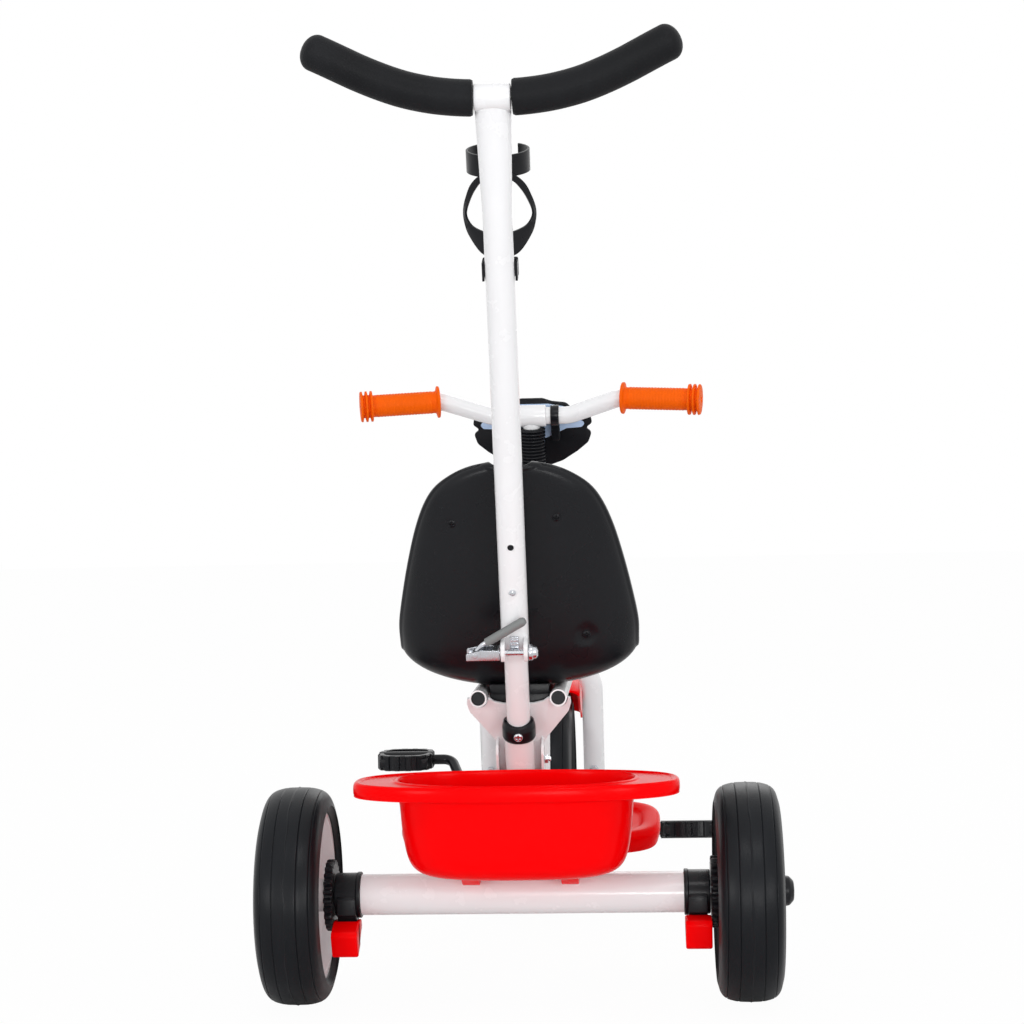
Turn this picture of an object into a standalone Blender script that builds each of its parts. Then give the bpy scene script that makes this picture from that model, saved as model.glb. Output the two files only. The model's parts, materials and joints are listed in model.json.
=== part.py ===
"""Children's tricycle with a push handle: every solid piece, at rest, standing on the floor.

X is to the rider's right, Y is forward and Z is up. Lengths in the code are millimetres until
mesh_object turns them into metres.
"""

import math

import bmesh
import bpy
from mathutils import Matrix, Vector
from mathutils.geometry import tessellate_polygon

MM = 0.001
GAP = 0.3

# Rear axle and wheels
REAR_R = 101.0
REAR_WIDTH = 61.0
REAR_X = 210.5
REAR_BAND = 22.0
AXLE_R = 5.0
AXLE_TUBE_R = 19.0
AXLE_TUBE_END = 151.0

# Front wheel and the steering axis through its centre
FRONT_R = 124.0
FRONT_WIDTH = 72.0
FRONT_Y = 500.0
FRONT_BAND = 24.0
RAKE = math.radians(17.0)
FORK_X = 59.5
FORK_R = 12.0
BEND_START = FRONT_R + 4.0
CROWN_RISE = 50.5
HEAD_LOW = FRONT_R + 76.0
HEAD_HIGH = HEAD_LOW + 130.0
BAR_CENTRE_Z = 560.0
BLOCK_R = 12.0

# Push bar, which leans back from its socket
LEAN = math.radians(21.1)
BAR_Y = -1.4
BAR_Z = 250.0
SOCKET_R = 14.0
LOWER_R = 11.0
UPPER_R = 12.75
BORE_R = 11.35
HANDLE_K = 599.0

# Seat rails
RAIL_X = 37.5
RAIL_Z = 285.0
RAIL_R = 8.0

MAIN_R = 16.5
HEAD_R = 17.5

WHEEL_SIDES = 24
WELD = 0.002
SHARP = math.radians(38)


def clear_scene():
    for item in list(bpy.data.objects):
        bpy.data.objects.remove(item)


clear_scene()
TRICYCLE = bpy.data.collections.new("tricycle")
bpy.context.scene.collection.children.link(TRICYCLE)
MATERIALS = {}


def material(name, colour, roughness, metallic=0.0):
    made = bpy.data.materials.new(name)
    made.use_nodes = True
    shader = made.node_tree.nodes["Principled BSDF"]
    shader.inputs["Base Color"].default_value = (*colour, 1.0)
    shader.inputs["Roughness"].default_value = roughness
    shader.inputs["Metallic"].default_value = metallic
    made.diffuse_color = (*colour, 1.0)
    MATERIALS[name] = made


material("white_paint", (0.84, 0.84, 0.86), 0.28)
material("white_plastic", (0.78, 0.76, 0.77), 0.4)
material("black_plastic", (0.018, 0.018, 0.02), 0.42)
material("black_foam", (0.022, 0.022, 0.026), 0.6)
material("red_plastic", (0.72, 0.008, 0.006), 0.2)
material("orange_rubber", (0.83, 0.13, 0.01), 0.5)
material("grey_rubber", (0.22, 0.23, 0.23), 0.6)
material("black_steel", (0.02, 0.02, 0.022), 0.4)
material("zinc_steel", (0.62, 0.64, 0.67), 0.3, 1.0)
material("pale_blue", (0.5, 0.64, 0.85), 0.35)


def v(x, y, z):
    return Vector((x, y, z))


def steer(s, x=0.0, n=0.0):
    """A point s up the steering axis from the front axle, n ahead of it."""
    y = FRONT_Y - s * math.sin(RAKE) + n * math.cos(RAKE)
    z = FRONT_R + s * math.cos(RAKE) + n * math.sin(RAKE)
    return v(x, y, z)


def bar(k, x=0.0, h=0.0):
    """A point k up the push bar from its collar, h behind its axis."""
    y = BAR_Y - k * math.sin(LEAN) - h * math.cos(LEAN)
    z = BAR_Z + k * math.cos(LEAN) - h * math.sin(LEAN)
    return v(x, y, z)


STEER_UP = (steer(1) - steer(0)).normalized()
STEER_AHEAD = (steer(0, n=1) - steer(0)).normalized()
BAR_UP = (bar(1) - bar(0)).normalized()
BAR_BACK = (bar(0, h=1) - bar(0)).normalized()
ACROSS = v(1, 0, 0)
AHEAD = v(0, 1, 0)
UP = v(0, 0, 1)
WORLD = (ACROSS, AHEAD, UP)


def stood(origin, across, upward):
    """The matrix, in metres, that puts a flat drawing's X on across and its Y on upward."""
    normal = across.cross(upward)
    matrix = Matrix((across, upward, normal)).transposed().to_4x4()
    matrix.translation = origin * MM
    return matrix


def facing(origin, axis):
    """The matrix, in metres, that turns Z onto the axis."""
    axis = axis.normalized()
    side = axis.orthogonal().normalized()
    return stood(origin, side, axis.cross(side))


def linked(name, data, matrix=None):
    item = bpy.data.objects.new(name, data)
    TRICYCLE.objects.link(item)
    if matrix:
        item.matrix_world = matrix
    return item


def finished(item, look):
    """Applies the modifiers, welds the caps of a curve and puts the mesh in world space."""
    bpy.context.view_layer.update()
    graph = bpy.context.evaluated_depsgraph_get()
    mesh = bpy.data.meshes.new_from_object(item.evaluated_get(graph))
    mesh.transform(item.matrix_world)
    if item.type == "CURVE":
        name = item.name
        bpy.data.objects.remove(item)
        item = linked(name, mesh)
    else:
        item.modifiers.clear()
        item.data = mesh
        item.matrix_world = Matrix.Identity(4)
    solid = bmesh.new()
    solid.from_mesh(mesh)
    bmesh.ops.remove_doubles(solid, verts=solid.verts, dist=WELD * MM)
    bmesh.ops.recalc_face_normals(solid, faces=solid.faces)
    solid.to_mesh(mesh)
    solid.free()
    mesh.materials.clear()
    mesh.materials.append(MATERIALS[look])
    mesh.shade_smooth()
    mesh.set_sharp_from_angle(angle=SHARP)
    return item


def combine(target, others, operation, look):
    """Joins the others to the target or cuts them out of it, and takes them away."""
    for other in others:
        step = target.modifiers.new(operation.lower(), "BOOLEAN")
        step.operation = operation
        step.solver = "EXACT"
        step.object = other
    finished(target, look)
    for other in others:
        bpy.data.objects.remove(other)
    return target


def join(target, others, look):
    return combine(target, others, "UNION", look)


def cut(target, others, look):
    return combine(target, others, "DIFFERENCE", look)


def revolve(name, profile, centre, axis, look, segments=16):
    """Turns (radius, along) points round an axis. A profile that leaves the axis out closes on itself."""
    corners = [(radius * MM, 0.0, height * MM) for radius, height in profile]
    edges = [(i, i + 1) for i in range(len(corners) - 1)]
    if profile[0][0] > 0:
        edges.append((len(corners) - 1, 0))
    mesh = bpy.data.meshes.new(name)
    mesh.from_pydata(corners, edges, [])
    item = linked(name, mesh, facing(centre, axis))
    turned = item.modifiers.new("turned", "SCREW")
    turned.steps = segments
    turned.render_steps = segments
    turned.use_merge_vertices = True
    turned.merge_threshold = WELD * MM
    return finished(item, look)


def rod(name, start, end, radius, look, segments=16):
    drawn = bmesh.new()
    bmesh.ops.create_cone(
        drawn,
        cap_ends=True,
        segments=segments,
        radius1=radius * MM,
        radius2=radius * MM,
        depth=(end - start).length * MM,
    )
    mesh = bpy.data.meshes.new(name)
    drawn.to_mesh(mesh)
    drawn.free()
    return finished(linked(name, mesh, facing((start + end) / 2, end - start)), look)


def box(name, low, high, look, origin=None, axes=WORLD):
    """A box between two corners, along the world's axes or its own from an origin."""
    size = Vector(high) - Vector(low)
    middle = (Vector(high) + Vector(low)) / 2
    drawn = bmesh.new()
    bmesh.ops.create_cube(drawn, size=MM)
    bmesh.ops.scale(drawn, vec=size, verts=drawn.verts)
    bmesh.ops.translate(drawn, vec=middle * MM, verts=drawn.verts)
    mesh = bpy.data.meshes.new(name)
    drawn.to_mesh(mesh)
    drawn.free()
    matrix = Matrix(axes).transposed().to_4x4()
    matrix.translation = (origin or v(0, 0, 0)) * MM
    return finished(linked(name, mesh, matrix), look)


def sweep(name, path, radius, look, inner=0.0, sides=12, widths=None):
    """A round bar along a path, or an open tube. widths scales the radius at each point."""
    curve = bpy.data.curves.new(name, "CURVE")
    curve.dimensions = "3D"
    curve.bevel_depth = radius * MM
    curve.bevel_resolution = sides // 2 - 2
    curve.use_fill_caps = inner == 0
    line = curve.splines.new("POLY")
    line.points.add(len(path) - 1)
    for i, point in enumerate(line.points):
        point.co = (*(path[i] * MM), 1.0)
        point.radius = widths[i] if widths else 1.0
    item = linked(name, curve)
    if inner:
        wall = item.modifiers.new("wall", "SOLIDIFY")
        wall.thickness = (radius - inner) * MM
        wall.offset = -1.0
    return finished(item, look)


def plate(name, outline, origin, across, upward, low, high, look, holes=()):
    """A flat outline in the plane of across and upward, thick from low to high along its normal."""
    curve = bpy.data.curves.new(name, "CURVE")
    curve.dimensions = "2D"
    curve.fill_mode = "BOTH"
    curve.extrude = abs(high - low) / 2 * MM
    for loop in (outline, *holes):
        line = curve.splines.new("POLY")
        line.points.add(len(loop) - 1)
        for point, (a, b) in zip(line.points, loop):
            point.co = (a * MM, b * MM, 0.0, 1.0)
        line.use_cyclic_u = True
    middle = origin + across.cross(upward) * ((low + high) / 2)
    return finished(linked(name, curve, stood(middle, across, upward)), look)


def loft(name, rings, look):
    """A solid skinned over rings of points of unlike shape, with flat ends."""
    size = len(rings[0])
    points = [tuple(point * MM) for ring in rings for point in ring]
    faces = [tuple(range(size)), tuple(range(len(points) - size, len(points)))]
    for start in range(0, len(points) - size, size):
        for i in range(size):
            j = (i + 1) % size
            faces.append((start + i, start + j, start + j + size, start + i + size))
    mesh = bpy.data.meshes.new(name)
    mesh.from_pydata(points, [], faces)
    return finished(linked(name, mesh), look)


def bent(corners, bend, steps=4):
    """The corners joined by straight runs, with each inner corner turned into an arc."""
    path = [corners[0]]
    for before, corner, after in zip(corners, corners[1:], corners[2:]):
        back = (before - corner).normalized()
        on = (after - corner).normalized()
        half_turn = (math.pi - back.angle(on)) / 2
        reach = bend * math.tan(half_turn)
        centre = corner + (back + on).normalized() * (bend / math.cos(half_turn))
        first = (corner + back * reach - centre).normalized()
        last = (corner + on * reach - centre).normalized()
        for i in range(steps + 1):
            path.append(centre + first.slerp(last, i / steps) * bend)
    path.append(corners[-1])
    return path


def oval(half_x, half_y, power=2.0, count=24, centre=(0.0, 0.0)):
    """A ring of points, from an ellipse at power 2 towards a rectangle at higher powers."""
    points = []
    for i in range(count):
        turn = 2 * math.pi * i / count
        x = math.copysign(abs(math.cos(turn)) ** (2 / power), math.cos(turn))
        y = math.copysign(abs(math.sin(turn)) ** (2 / power), math.sin(turn))
        points.append((centre[0] + half_x * x, centre[1] + half_y * y))
    return points


def mirror_outline(half):
    """A full outline from its right half, listed from the bottom middle up to the top middle."""
    return list(half) + [(-x, y) for x, y in reversed(half) if x > 0]


def tyre(name, radius, width, band, x, y):
    half = width / 2
    inner = radius - band
    side = [
        (inner, half - 6.0),
        (inner + 7.0, half - 1.5),
        (radius - 13.0, half),
        (radius - 4.0, half - 3.5),
        (radius, half - 14.0),
    ]
    profile = side + [(r, -t) for r, t in reversed(side)]
    return revolve(name, profile, v(x, y, radius), ACROSS, "black_foam", WHEEL_SIDES)


def wheel_rim(name, radius, width, band, bore, hub_r, hub_in, hub_out, x, y, side):
    """The wheel's hub, web and band. side is +1 where the outer face looks along +X."""
    outer = radius - band - GAP
    half = width / 2 - 7.0
    profile = [
        (bore, hub_in),
        (hub_r, hub_in),
        (hub_r + 2.0, -9.0),
        (outer - 14.0, -13.0),
        (outer - 6.0, -half),
        (outer, -half),
        (outer, half),
        (outer - 6.0, half),
        (outer - 12.0, -7.0),
        (hub_r + 3.0, -3.0),
        (hub_r, hub_out),
        (bore, hub_out),
    ]
    return revolve(name, profile, v(x, y, radius), ACROSS * side, "white_plastic", WHEEL_SIDES)


# The frame: axle tube, main tube, head tube, gusset, handle socket, seat rails and their strip
sweep(
    "rear_axle_tube",
    [v(-AXLE_TUBE_END, 0, REAR_R), v(AXLE_TUBE_END, 0, REAR_R)],
    AXLE_TUBE_R,
    "white_paint",
    AXLE_TUBE_R - 2.0,
    20,
)

MAIN_JOIN = HEAD_LOW + 62.0
main_corners = [
    v(0, 0, REAR_R),
    v(0, 265, REAR_R),
    v(0, 345, 345),
    steer(MAIN_JOIN),
]
MAIN_BEND = 62.0
main_path = bent(main_corners, MAIN_BEND, 3)
main_tube = sweep("main_tube", main_path, MAIN_R, "white_paint", MAIN_R - 2.0)
cut(
    main_tube,
    [
        rod("cut_a", v(-60, 0, REAR_R), v(60, 0, REAR_R), AXLE_TUBE_R + GAP, "white_paint", 32),
        rod("cut_b", steer(HEAD_LOW - 40), steer(HEAD_HIGH + 40), HEAD_R + GAP, "white_paint", 32),
    ],
    "white_paint",
)

STEERER_R = 12.7
revolve(
    "head_tube",
    [
        (STEERER_R + 0.4, HEAD_LOW),
        (HEAD_R + 1.6, HEAD_LOW),
        (HEAD_R + 1.6, HEAD_LOW + 7),
        (HEAD_R, HEAD_LOW + 8),
        (HEAD_R, HEAD_HIGH - 8),
        (HEAD_R + 1.6, HEAD_HIGH - 7),
        (HEAD_R + 1.6, HEAD_HIGH),
        (STEERER_R + 0.4, HEAD_HIGH),
    ],
    steer(0),
    STEER_UP,
    "white_paint",
    20,
)

# The gusset stands on the main tube and leans with the handle socket
GUSSET_BACK = SOCKET_R + 0.4
GUSSET_THICK = 3.0


def gusset_k(z):
    return (z - BAR_Z - GUSSET_BACK * math.sin(LEAN)) / math.cos(LEAN)


STEM_HALF = 22.5
NOTCH_HALF = RAIL_R + 0.5
NOTCH_DEEP = RAIL_R + 1.9
notch_k = (RAIL_Z - BAR_Z - (GUSSET_BACK + GUSSET_THICK / 2) * math.sin(LEAN)) / math.cos(LEAN)
gusset_half = [(STEM_HALF, gusset_k(118.6)), (STEM_HALF, gusset_k(242)), (46.5, gusset_k(271)), (49.0, gusset_k(279))]
gusset_half.append((48.5, notch_k))
for i in range(11):
    turn = math.pi * i / 10
    gusset_half.append((RAIL_X + NOTCH_HALF * math.cos(turn), notch_k - NOTCH_DEEP * math.sin(turn)))
gusset_half += [(27.0, gusset_k(284)), (23.0, gusset_k(281)), (14.0, gusset_k(279)), (0.0, gusset_k(279))]
gusset_low = -(GUSSET_BACK + GUSSET_THICK)
gusset = plate(
    "frame_gusset", mirror_outline(gusset_half), bar(0), ACROSS, BAR_UP, gusset_low, -GUSSET_BACK, "white_paint"
)

SOCKET_LOW = -136.0
SOCKET_BORE = LOWER_R + 0.4
COLLAR_LOW = -2.5
COLLAR_HIGH = 15.0
COLLAR_R = 15.6
BOLT_K = -25.7
BOLT_R = 2.4
FLANGE_LOW = -46.0
FLANGE_HIGH = -11.0
BAR_AXES = (ACROSS, BAR_BACK, BAR_UP)


def cross_bolt_hole(name, reach):
    return rod(name, bar(BOLT_K, -reach), bar(BOLT_K, reach), BOLT_R + GAP, "white_paint", 12)


flanges = []
for side in (-1, 1):
    edge = sorted((side * (STEM_HALF - 2.5), side * STEM_HALF))
    low = (edge[0], -(GUSSET_BACK + GUSSET_THICK / 2), FLANGE_LOW)
    high = (edge[1], 5.0, FLANGE_HIGH)
    flanges.append(box("flange", low, high, "white_paint", bar(0), BAR_AXES))
join(gusset, flanges, "white_paint")
collar_room = rod("room", bar(COLLAR_LOW - 2), bar(COLLAR_HIGH + 3), COLLAR_R + GAP, "white_paint", 20)
cut(gusset, [collar_room, cross_bolt_hole("hole", 30)], "white_paint")

socket = sweep("handle_socket", [bar(SOCKET_LOW), bar(COLLAR_LOW - GAP)], SOCKET_R, "white_paint", SOCKET_BORE, 16)
cut(socket, [cross_bolt_hole("hole", 20)], "white_paint")
revolve(
    "frame_bolt",
    [(0, -25.0), (BOLT_R, -25.0), (BOLT_R, STEM_HALF + GAP), (4.2, STEM_HALF + GAP), (4.2, 28.5), (0, 29.5)],
    bar(BOLT_K),
    ACROSS,
    "zinc_steel",
    12,
)

for side, word in ((-1, "left"), (1, "right")):
    rail_corners = [
        v(side * RAIL_X, -9, RAIL_Z),
        v(side * RAIL_X, 235, RAIL_Z),
        v(side * 6.0, 326, RAIL_Z),
    ]
    rail = sweep("seat_rail_" + word, bent(rail_corners, 45.0), RAIL_R, "white_paint", RAIL_R - 1.4)
    core = sweep("core", main_path, MAIN_R + GAP, "white_paint")
    cut(rail, [core], "white_paint")

STRIP_LOW = 281.5
STRIP_HIGH = 285.5
STRIP_BACK = 22.0
STRIP_FRONT = 52.0
strip = box(
    "seat_cross_strip", (-RAIL_X, STRIP_BACK, STRIP_LOW), (RAIL_X, STRIP_FRONT, STRIP_HIGH), "white_paint"
)
cut(
    strip,
    [
        rod("cut_rail", v(side * RAIL_X, 0, RAIL_Z), v(side * RAIL_X, 80, RAIL_Z), RAIL_R + GAP, "white_paint", 24)
        for side in (-1, 1)
    ],
    "white_paint",
)

# Rear axle rod, collars with their brake lugs, wheels, caps and brake pedals
CAP_START = 228.5
rod("rear_axle", v(-242, 0, REAR_R), v(242, 0, REAR_R), AXLE_R, "zinc_steel", 16)

COLLAR_IN = AXLE_TUBE_END + GAP
COLLAR_OUT = 175.5
PIVOT_Y = -9.0
PIVOT_Z = REAR_R - 27.0
LUG_X = (155.0, 172.5)
PAD_IN = 151.5
PAD_OUT = 175.9
EAR_THICK = 3.0
FLANGE_IN = 176.2
FLANGE_OUT = 184.0
for side, word in ((-1, "left"), (1, "right")):
    axis = ACROSS * side
    hub = v(0, 0, REAR_R)
    collar = revolve(
        "rear_collar_" + word,
        [
            (AXLE_R + GAP, 135.0),
            (16.7, 135.0),
            (16.7, COLLAR_IN),
            (21.5, COLLAR_IN),
            (20.6, COLLAR_IN + 5.0),
            (20.6, COLLAR_OUT),
            (AXLE_R + GAP, COLLAR_OUT),
        ],
        hub,
        axis,
        "black_plastic",
    )
    lug_shape = [(-17.0, 4.0), (-24.0, 0.0), (-24.5, -15.5), (-19.0, -16.5), (-17.0, -31.0), (-13.0, -34.5)]
    lug_shape += [(-5.0, -34.5), (-1.0, -31.0), (6.0, -17.0), (9.0, -4.0)]
    lug_in, lug_out = side * LUG_X[0], side * LUG_X[1]
    lug = plate("lug", lug_shape, v(0, 0, REAR_R), AHEAD, UP, lug_in, lug_out, "black_plastic")
    join(collar, [lug], "black_plastic")
    cut(
        collar,
        [
            rod("pivot_hole", v(side * 150, PIVOT_Y, PIVOT_Z), v(side * 180, PIVOT_Y, PIVOT_Z), 3.1, "black_plastic", 12),
            rod("bore", v(side * 130, 0, REAR_R), v(side * 180, 0, REAR_R), AXLE_R + GAP, "black_plastic", 16),
        ],
        "black_plastic",
    )

    tyre("rear_tyre_" + word, REAR_R, REAR_WIDTH, REAR_BAND, side * REAR_X, 0)
    wheel_rim(
        "rear_rim_" + word,
        REAR_R,
        REAR_WIDTH,
        REAR_BAND,
        AXLE_R + GAP,
        15.0,
        FLANGE_OUT + GAP - REAR_X,
        CAP_START - GAP - REAR_X,
        side * REAR_X,
        0,
        side,
    )
    teeth = []
    for i in range(48):
        turn = 2 * math.pi * i / 48
        reach = 33.5 if (i // 2) % 2 == 0 else 29.5
        teeth.append((reach * math.cos(turn), reach * math.sin(turn)))
    bore = oval(AXLE_R + GAP, AXLE_R + GAP, 2.0, 16)
    plate(
        "wheel_flange_" + word,
        teeth,
        hub,
        AHEAD,
        UP,
        side * FLANGE_IN,
        side * FLANGE_OUT,
        "black_plastic",
        holes=[bore],
    )
    revolve(
        "axle_cap_" + word,
        [
            (AXLE_R + GAP, CAP_START),
            (15.5, CAP_START),
            (15.5, CAP_START + 14.0),
            (14.0, CAP_START + 20.0),
            (9.5, CAP_START + 24.0),
            (0.0, CAP_START + 25.5),
            (0.0, CAP_START + 17.0),
            (AXLE_R + GAP, CAP_START + 17.0),
        ],
        hub,
        axis,
        "black_plastic",
    )

    # The pedal is drawn about its pivot, then the left one is turned down as it stands in use
    pressed = math.radians(13.0) if side < 0 else 0.0

    def about(y, z):
        return (
            PIVOT_Y + y * math.cos(pressed) - z * math.sin(pressed),
            PIVOT_Z + y * math.sin(pressed) + z * math.cos(pressed),
        )

    ear_shape = ((5.5, -3), (3.5, 5), (-4, 7), (-16, 9), (-20, 4), (-20, -14), (-3, -6))
    pad_shape = ((-11.5, 9.5), (-33, 8), (-36.5, 4), (-33, -17), (-29, -19), (-11.5, -14.5))
    ear = [about(y, z) for y, z in ear_shape]
    pad = [about(y, z) for y, z in pad_shape]
    pad_in = PAD_IN * side
    pad_out = PAD_OUT * side
    pedal = plate("brake_pedal_" + word, pad, v(0, 0, 0), AHEAD, UP, pad_in, pad_out, "red_plastic")
    first_ear = plate("ear", ear, v(0, 0, 0), AHEAD, UP, pad_in, (PAD_IN + EAR_THICK) * side, "red_plastic")
    second_ear = plate("ear", ear, v(0, 0, 0), AHEAD, UP, (PAD_OUT - EAR_THICK) * side, pad_out, "red_plastic")
    pin = rod("pin", v(pad_in, PIVOT_Y, PIVOT_Z), v(pad_out, PIVOT_Y, PIVOT_Z), 2.7, "red_plastic", 14)
    join(pedal, [first_ear, second_ear, pin], "red_plastic")

# The fork, its steerer, the axle brackets and their bolts
FOOT_S = 17.0
STEERER_START = BEND_START + CROWN_RISE - 1.5
STEM_R = 9.5
STEM_TOP = (BAR_CENTRE_Z - FRONT_R) / math.cos(RAKE) - BLOCK_R - GAP
fork_path = [steer(FOOT_S, -FORK_X)]
for i in range(9):
    turn = math.pi * i / 8
    fork_path.append(steer(BEND_START + CROWN_RISE * math.sin(turn), -FORK_X * math.cos(turn)))
fork_path.append(steer(FOOT_S, FORK_X))
fork = sweep("fork", fork_path, FORK_R, "white_paint", FORK_R - 2.0)
steerer = revolve(
    "steerer",
    [
        (0.0, 0.0),
        (STEERER_R, 0.0),
        (STEERER_R, 151.0),
        (STEM_R, 152.0),
        (STEM_R, STEM_TOP - STEERER_START),
        (0.0, STEM_TOP - STEERER_START),
    ],
    steer(STEERER_START),
    STEER_UP,
    "white_paint",
    16,
)
join(fork, [steerer], "white_paint")
BOLT_S = 36.0
cut(
    fork,
    [
        rod("hole", steer(BOLT_S, side * FORK_X, -20), steer(BOLT_S, side * FORK_X, 20), 2.9, "white_paint", 10)
        for side in (-1, 1)
    ],
    "white_paint",
)
CRANK_R = 6.0
for side, word in ((-1, "left"), (1, "right")):
    bracket = revolve(
        "axle_bracket_" + word,
        [
            (CRANK_R + 0.35, 47.5),
            (14.5, 47.5),
            (16.0, 49.5),
            (16.0, 69.5),
            (14.5, 71.5),
            (CRANK_R + 0.35, 71.5),
        ],
        steer(0),
        ACROSS * side,
        "black_plastic",
    )
    plug = rod("plug", steer(11, side * FORK_X), steer(52, side * FORK_X), 9.4, "black_plastic", 12)
    join(bracket, [plug], "black_plastic")
    cut(
        bracket,
        [rod("hole", steer(BOLT_S, side * FORK_X, -20), steer(BOLT_S, side * FORK_X, 20), 2.9, "black_plastic", 10)],
        "black_plastic",
    )
    revolve(
        "bracket_bolt_" + word,
        [(0, -16.0), (3.6, -16.0), (4.6, -15.0), (4.6, -12.4), (2.5, -12.4), (2.5, 12.4), (4.6, 12.4), (4.6, 16.0), (0, 16.0)],
        steer(BOLT_S, side * FORK_X),
        STEER_AHEAD,
        "zinc_steel",
        10,
    )

# Bellows round the steerer
RIBS = 30
VALLEY_R = 13.2
RIB_R = 15.2
BELLOWS_LOW = HEAD_HIGH + 1.0
BELLOWS_HIGH = STEM_TOP - 0.7
rib_path = []
rib_widths = []
for i in range(2 * RIBS + 1):
    rib_path.append(steer(BELLOWS_LOW + (BELLOWS_HIGH - BELLOWS_LOW) * i / (2 * RIBS)))
    rib_widths.append(1.0 if i % 2 else VALLEY_R / RIB_R)
bellows = sweep("bellows", rib_path, RIB_R, "black_plastic", 0.0, 8, rib_widths)
bellows_bore = [steer(BELLOWS_LOW - 5), steer(BELLOWS_HIGH + 5)]
cut(bellows, [sweep("bore", bellows_bore, STEM_R + 1.4, "black_plastic", 0.0, 8)], "black_plastic")

# Handlebar, grips, the clip on the bar, and the plate in front of it
bar_centre_s = (BAR_CENTRE_Z - FRONT_R) / math.cos(RAKE)
bar_y = steer(bar_centre_s).y
HANDLEBAR_R = 9.5
bar_half = [v(42, bar_y, BAR_CENTRE_Z), v(97, bar_y - 8, 577.5), v(183, bar_y - 23.2, 573.2)]
bar_corners = [v(-p.x, p.y, p.z) for p in reversed(bar_half)] + bar_half
handlebar = sweep("handlebar", bent(bar_corners, 34.0, 3), HANDLEBAR_R, "white_paint", 8.0)
block = rod("block", v(-17, bar_y, BAR_CENTRE_Z), v(17, bar_y, BAR_CENTRE_Z), BLOCK_R, "white_paint")
join(handlebar, [block], "white_paint")
GRIP_LENGTH = 88.0
for side, word in ((-1, "left"), (1, "right")):
    inner_end = v(side * bar_half[1].x, bar_half[1].y, bar_half[1].z)
    outer_end = v(side * bar_half[2].x, bar_half[2].y, bar_half[2].z)
    outward = (outer_end - inner_end).normalized()
    full = (outer_end - inner_end).length
    start = inner_end + outward * (full + 4.0 - GRIP_LENGTH)
    revolve(
        "handlebar_grip_" + word,
        [
            (HANDLEBAR_R + 0.6, 0.0),
            (17.5, 0.0),
            (17.5, 2.2),
            (12.0, 4.0),
            (12.0, GRIP_LENGTH - 14.5),
            (16.8, GRIP_LENGTH - 14.0),
            (16.8, GRIP_LENGTH - 12.0),
            (12.4, GRIP_LENGTH - 10.8),
            (12.4, GRIP_LENGTH - 9.4),
            (16.8, GRIP_LENGTH - 8.6),
            (16.8, GRIP_LENGTH - 6.6),
            (12.4, GRIP_LENGTH - 5.4),
            (12.4, GRIP_LENGTH - 4.0),
            (16.8, GRIP_LENGTH - 3.2),
            (16.0, GRIP_LENGTH - 0.6),
            (0.0, GRIP_LENGTH),
            (0.0, GRIP_LENGTH - 3.6),
            (HANDLEBAR_R + 0.6, GRIP_LENGTH - 3.6),
        ],
        start,
        outward,
        "orange_rubber",
        14,
    )

PLATE_N = 24.0
plate_half = [
    (0.0, 392.0),
    (9.0, 388.5),
    (18.0, 389.0),
    (33.0, 397.0),
    (50.0, 408.0),
    (60.0, 416.5),
    (64.5, 426.0),
    (64.0, 432.0),
    (59.5, 434.5),
    (64.0, 438.0),
    (66.5, 443.0),
    (65.0, 447.0),
    (60.0, 449.0),
    (50.0, 452.0),
    (43.0, 459.0),
    (36.0, 464.5),
    (22.0, 466.0),
    (12.0, 469.0),
    (0.0, 470.5),
]
plate("front_plate", mirror_outline(plate_half), steer(0), ACROSS, STEER_UP, -27.0, -PLATE_N, "black_plastic")
trim_half = [
    (0.0, 424.0),
    (14.0, 424.0),
    (22.0, 427.0),
    (38.0, 435.0),
    (54.0, 436.0),
    (59.0, 440.0),
    (57.0, 445.0),
    (46.0, 448.0),
    (39.0, 456.0),
    (30.0, 462.0),
    (0.0, 463.5),
]
plate("plate_trim", mirror_outline(trim_half), steer(0), ACROSS, STEER_UP, -(PLATE_N - GAP), -21.6, "pale_blue")
clip_x = 26.0
clip_centre = v(clip_x, bar_y, BAR_CENTRE_Z)
clip = revolve(
    "bar_clip",
    [(HANDLEBAR_R + 0.5, -5.0), (13.0, -5.0), (13.0, 5.0), (HANDLEBAR_R + 0.5, 5.0)],
    clip_centre,
    ACROSS,
    "black_plastic",
    24,
)
tongue = box(
    "tongue",
    (clip_x - 5.0, 6.5, 425.0),
    (clip_x + 5.0, 21.3, 462.0),
    "black_plastic",
    steer(0),
    (ACROSS, STEER_AHEAD, STEER_UP),
)
room = rod("room", clip_centre - ACROSS * 12, clip_centre + ACROSS * 12, HANDLEBAR_R + 0.5, "black_plastic", 24)
join(clip, [tongue], "black_plastic")
cut(clip, [room], "black_plastic")

# Front wheel, crank axle and pedals
tyre("front_tyre", FRONT_R, FRONT_WIDTH, FRONT_BAND, 0, FRONT_Y)
wheel_rim(
    "front_rim", FRONT_R, FRONT_WIDTH, FRONT_BAND, CRANK_R + GAP, 17.0, -46.0, 46.0, 0, FRONT_Y, 1
)
CRANK_Y = 60.0
CRANK_UP = 34.0
crank_corners = [
    v(-196, FRONT_Y + CRANK_Y, FRONT_R + CRANK_UP),
    v(-112, FRONT_Y + CRANK_Y, FRONT_R + CRANK_UP),
    v(-90, FRONT_Y, FRONT_R),
    v(90, FRONT_Y, FRONT_R),
    v(112, FRONT_Y - CRANK_Y, FRONT_R - CRANK_UP),
    v(196, FRONT_Y - CRANK_Y, FRONT_R - CRANK_UP),
]
sweep("crank_axle", bent(crank_corners, 14.0, 3), CRANK_R, "black_steel")
PEDAL_X = 166.5
PEDAL_TILT = math.radians(9.0)
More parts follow.
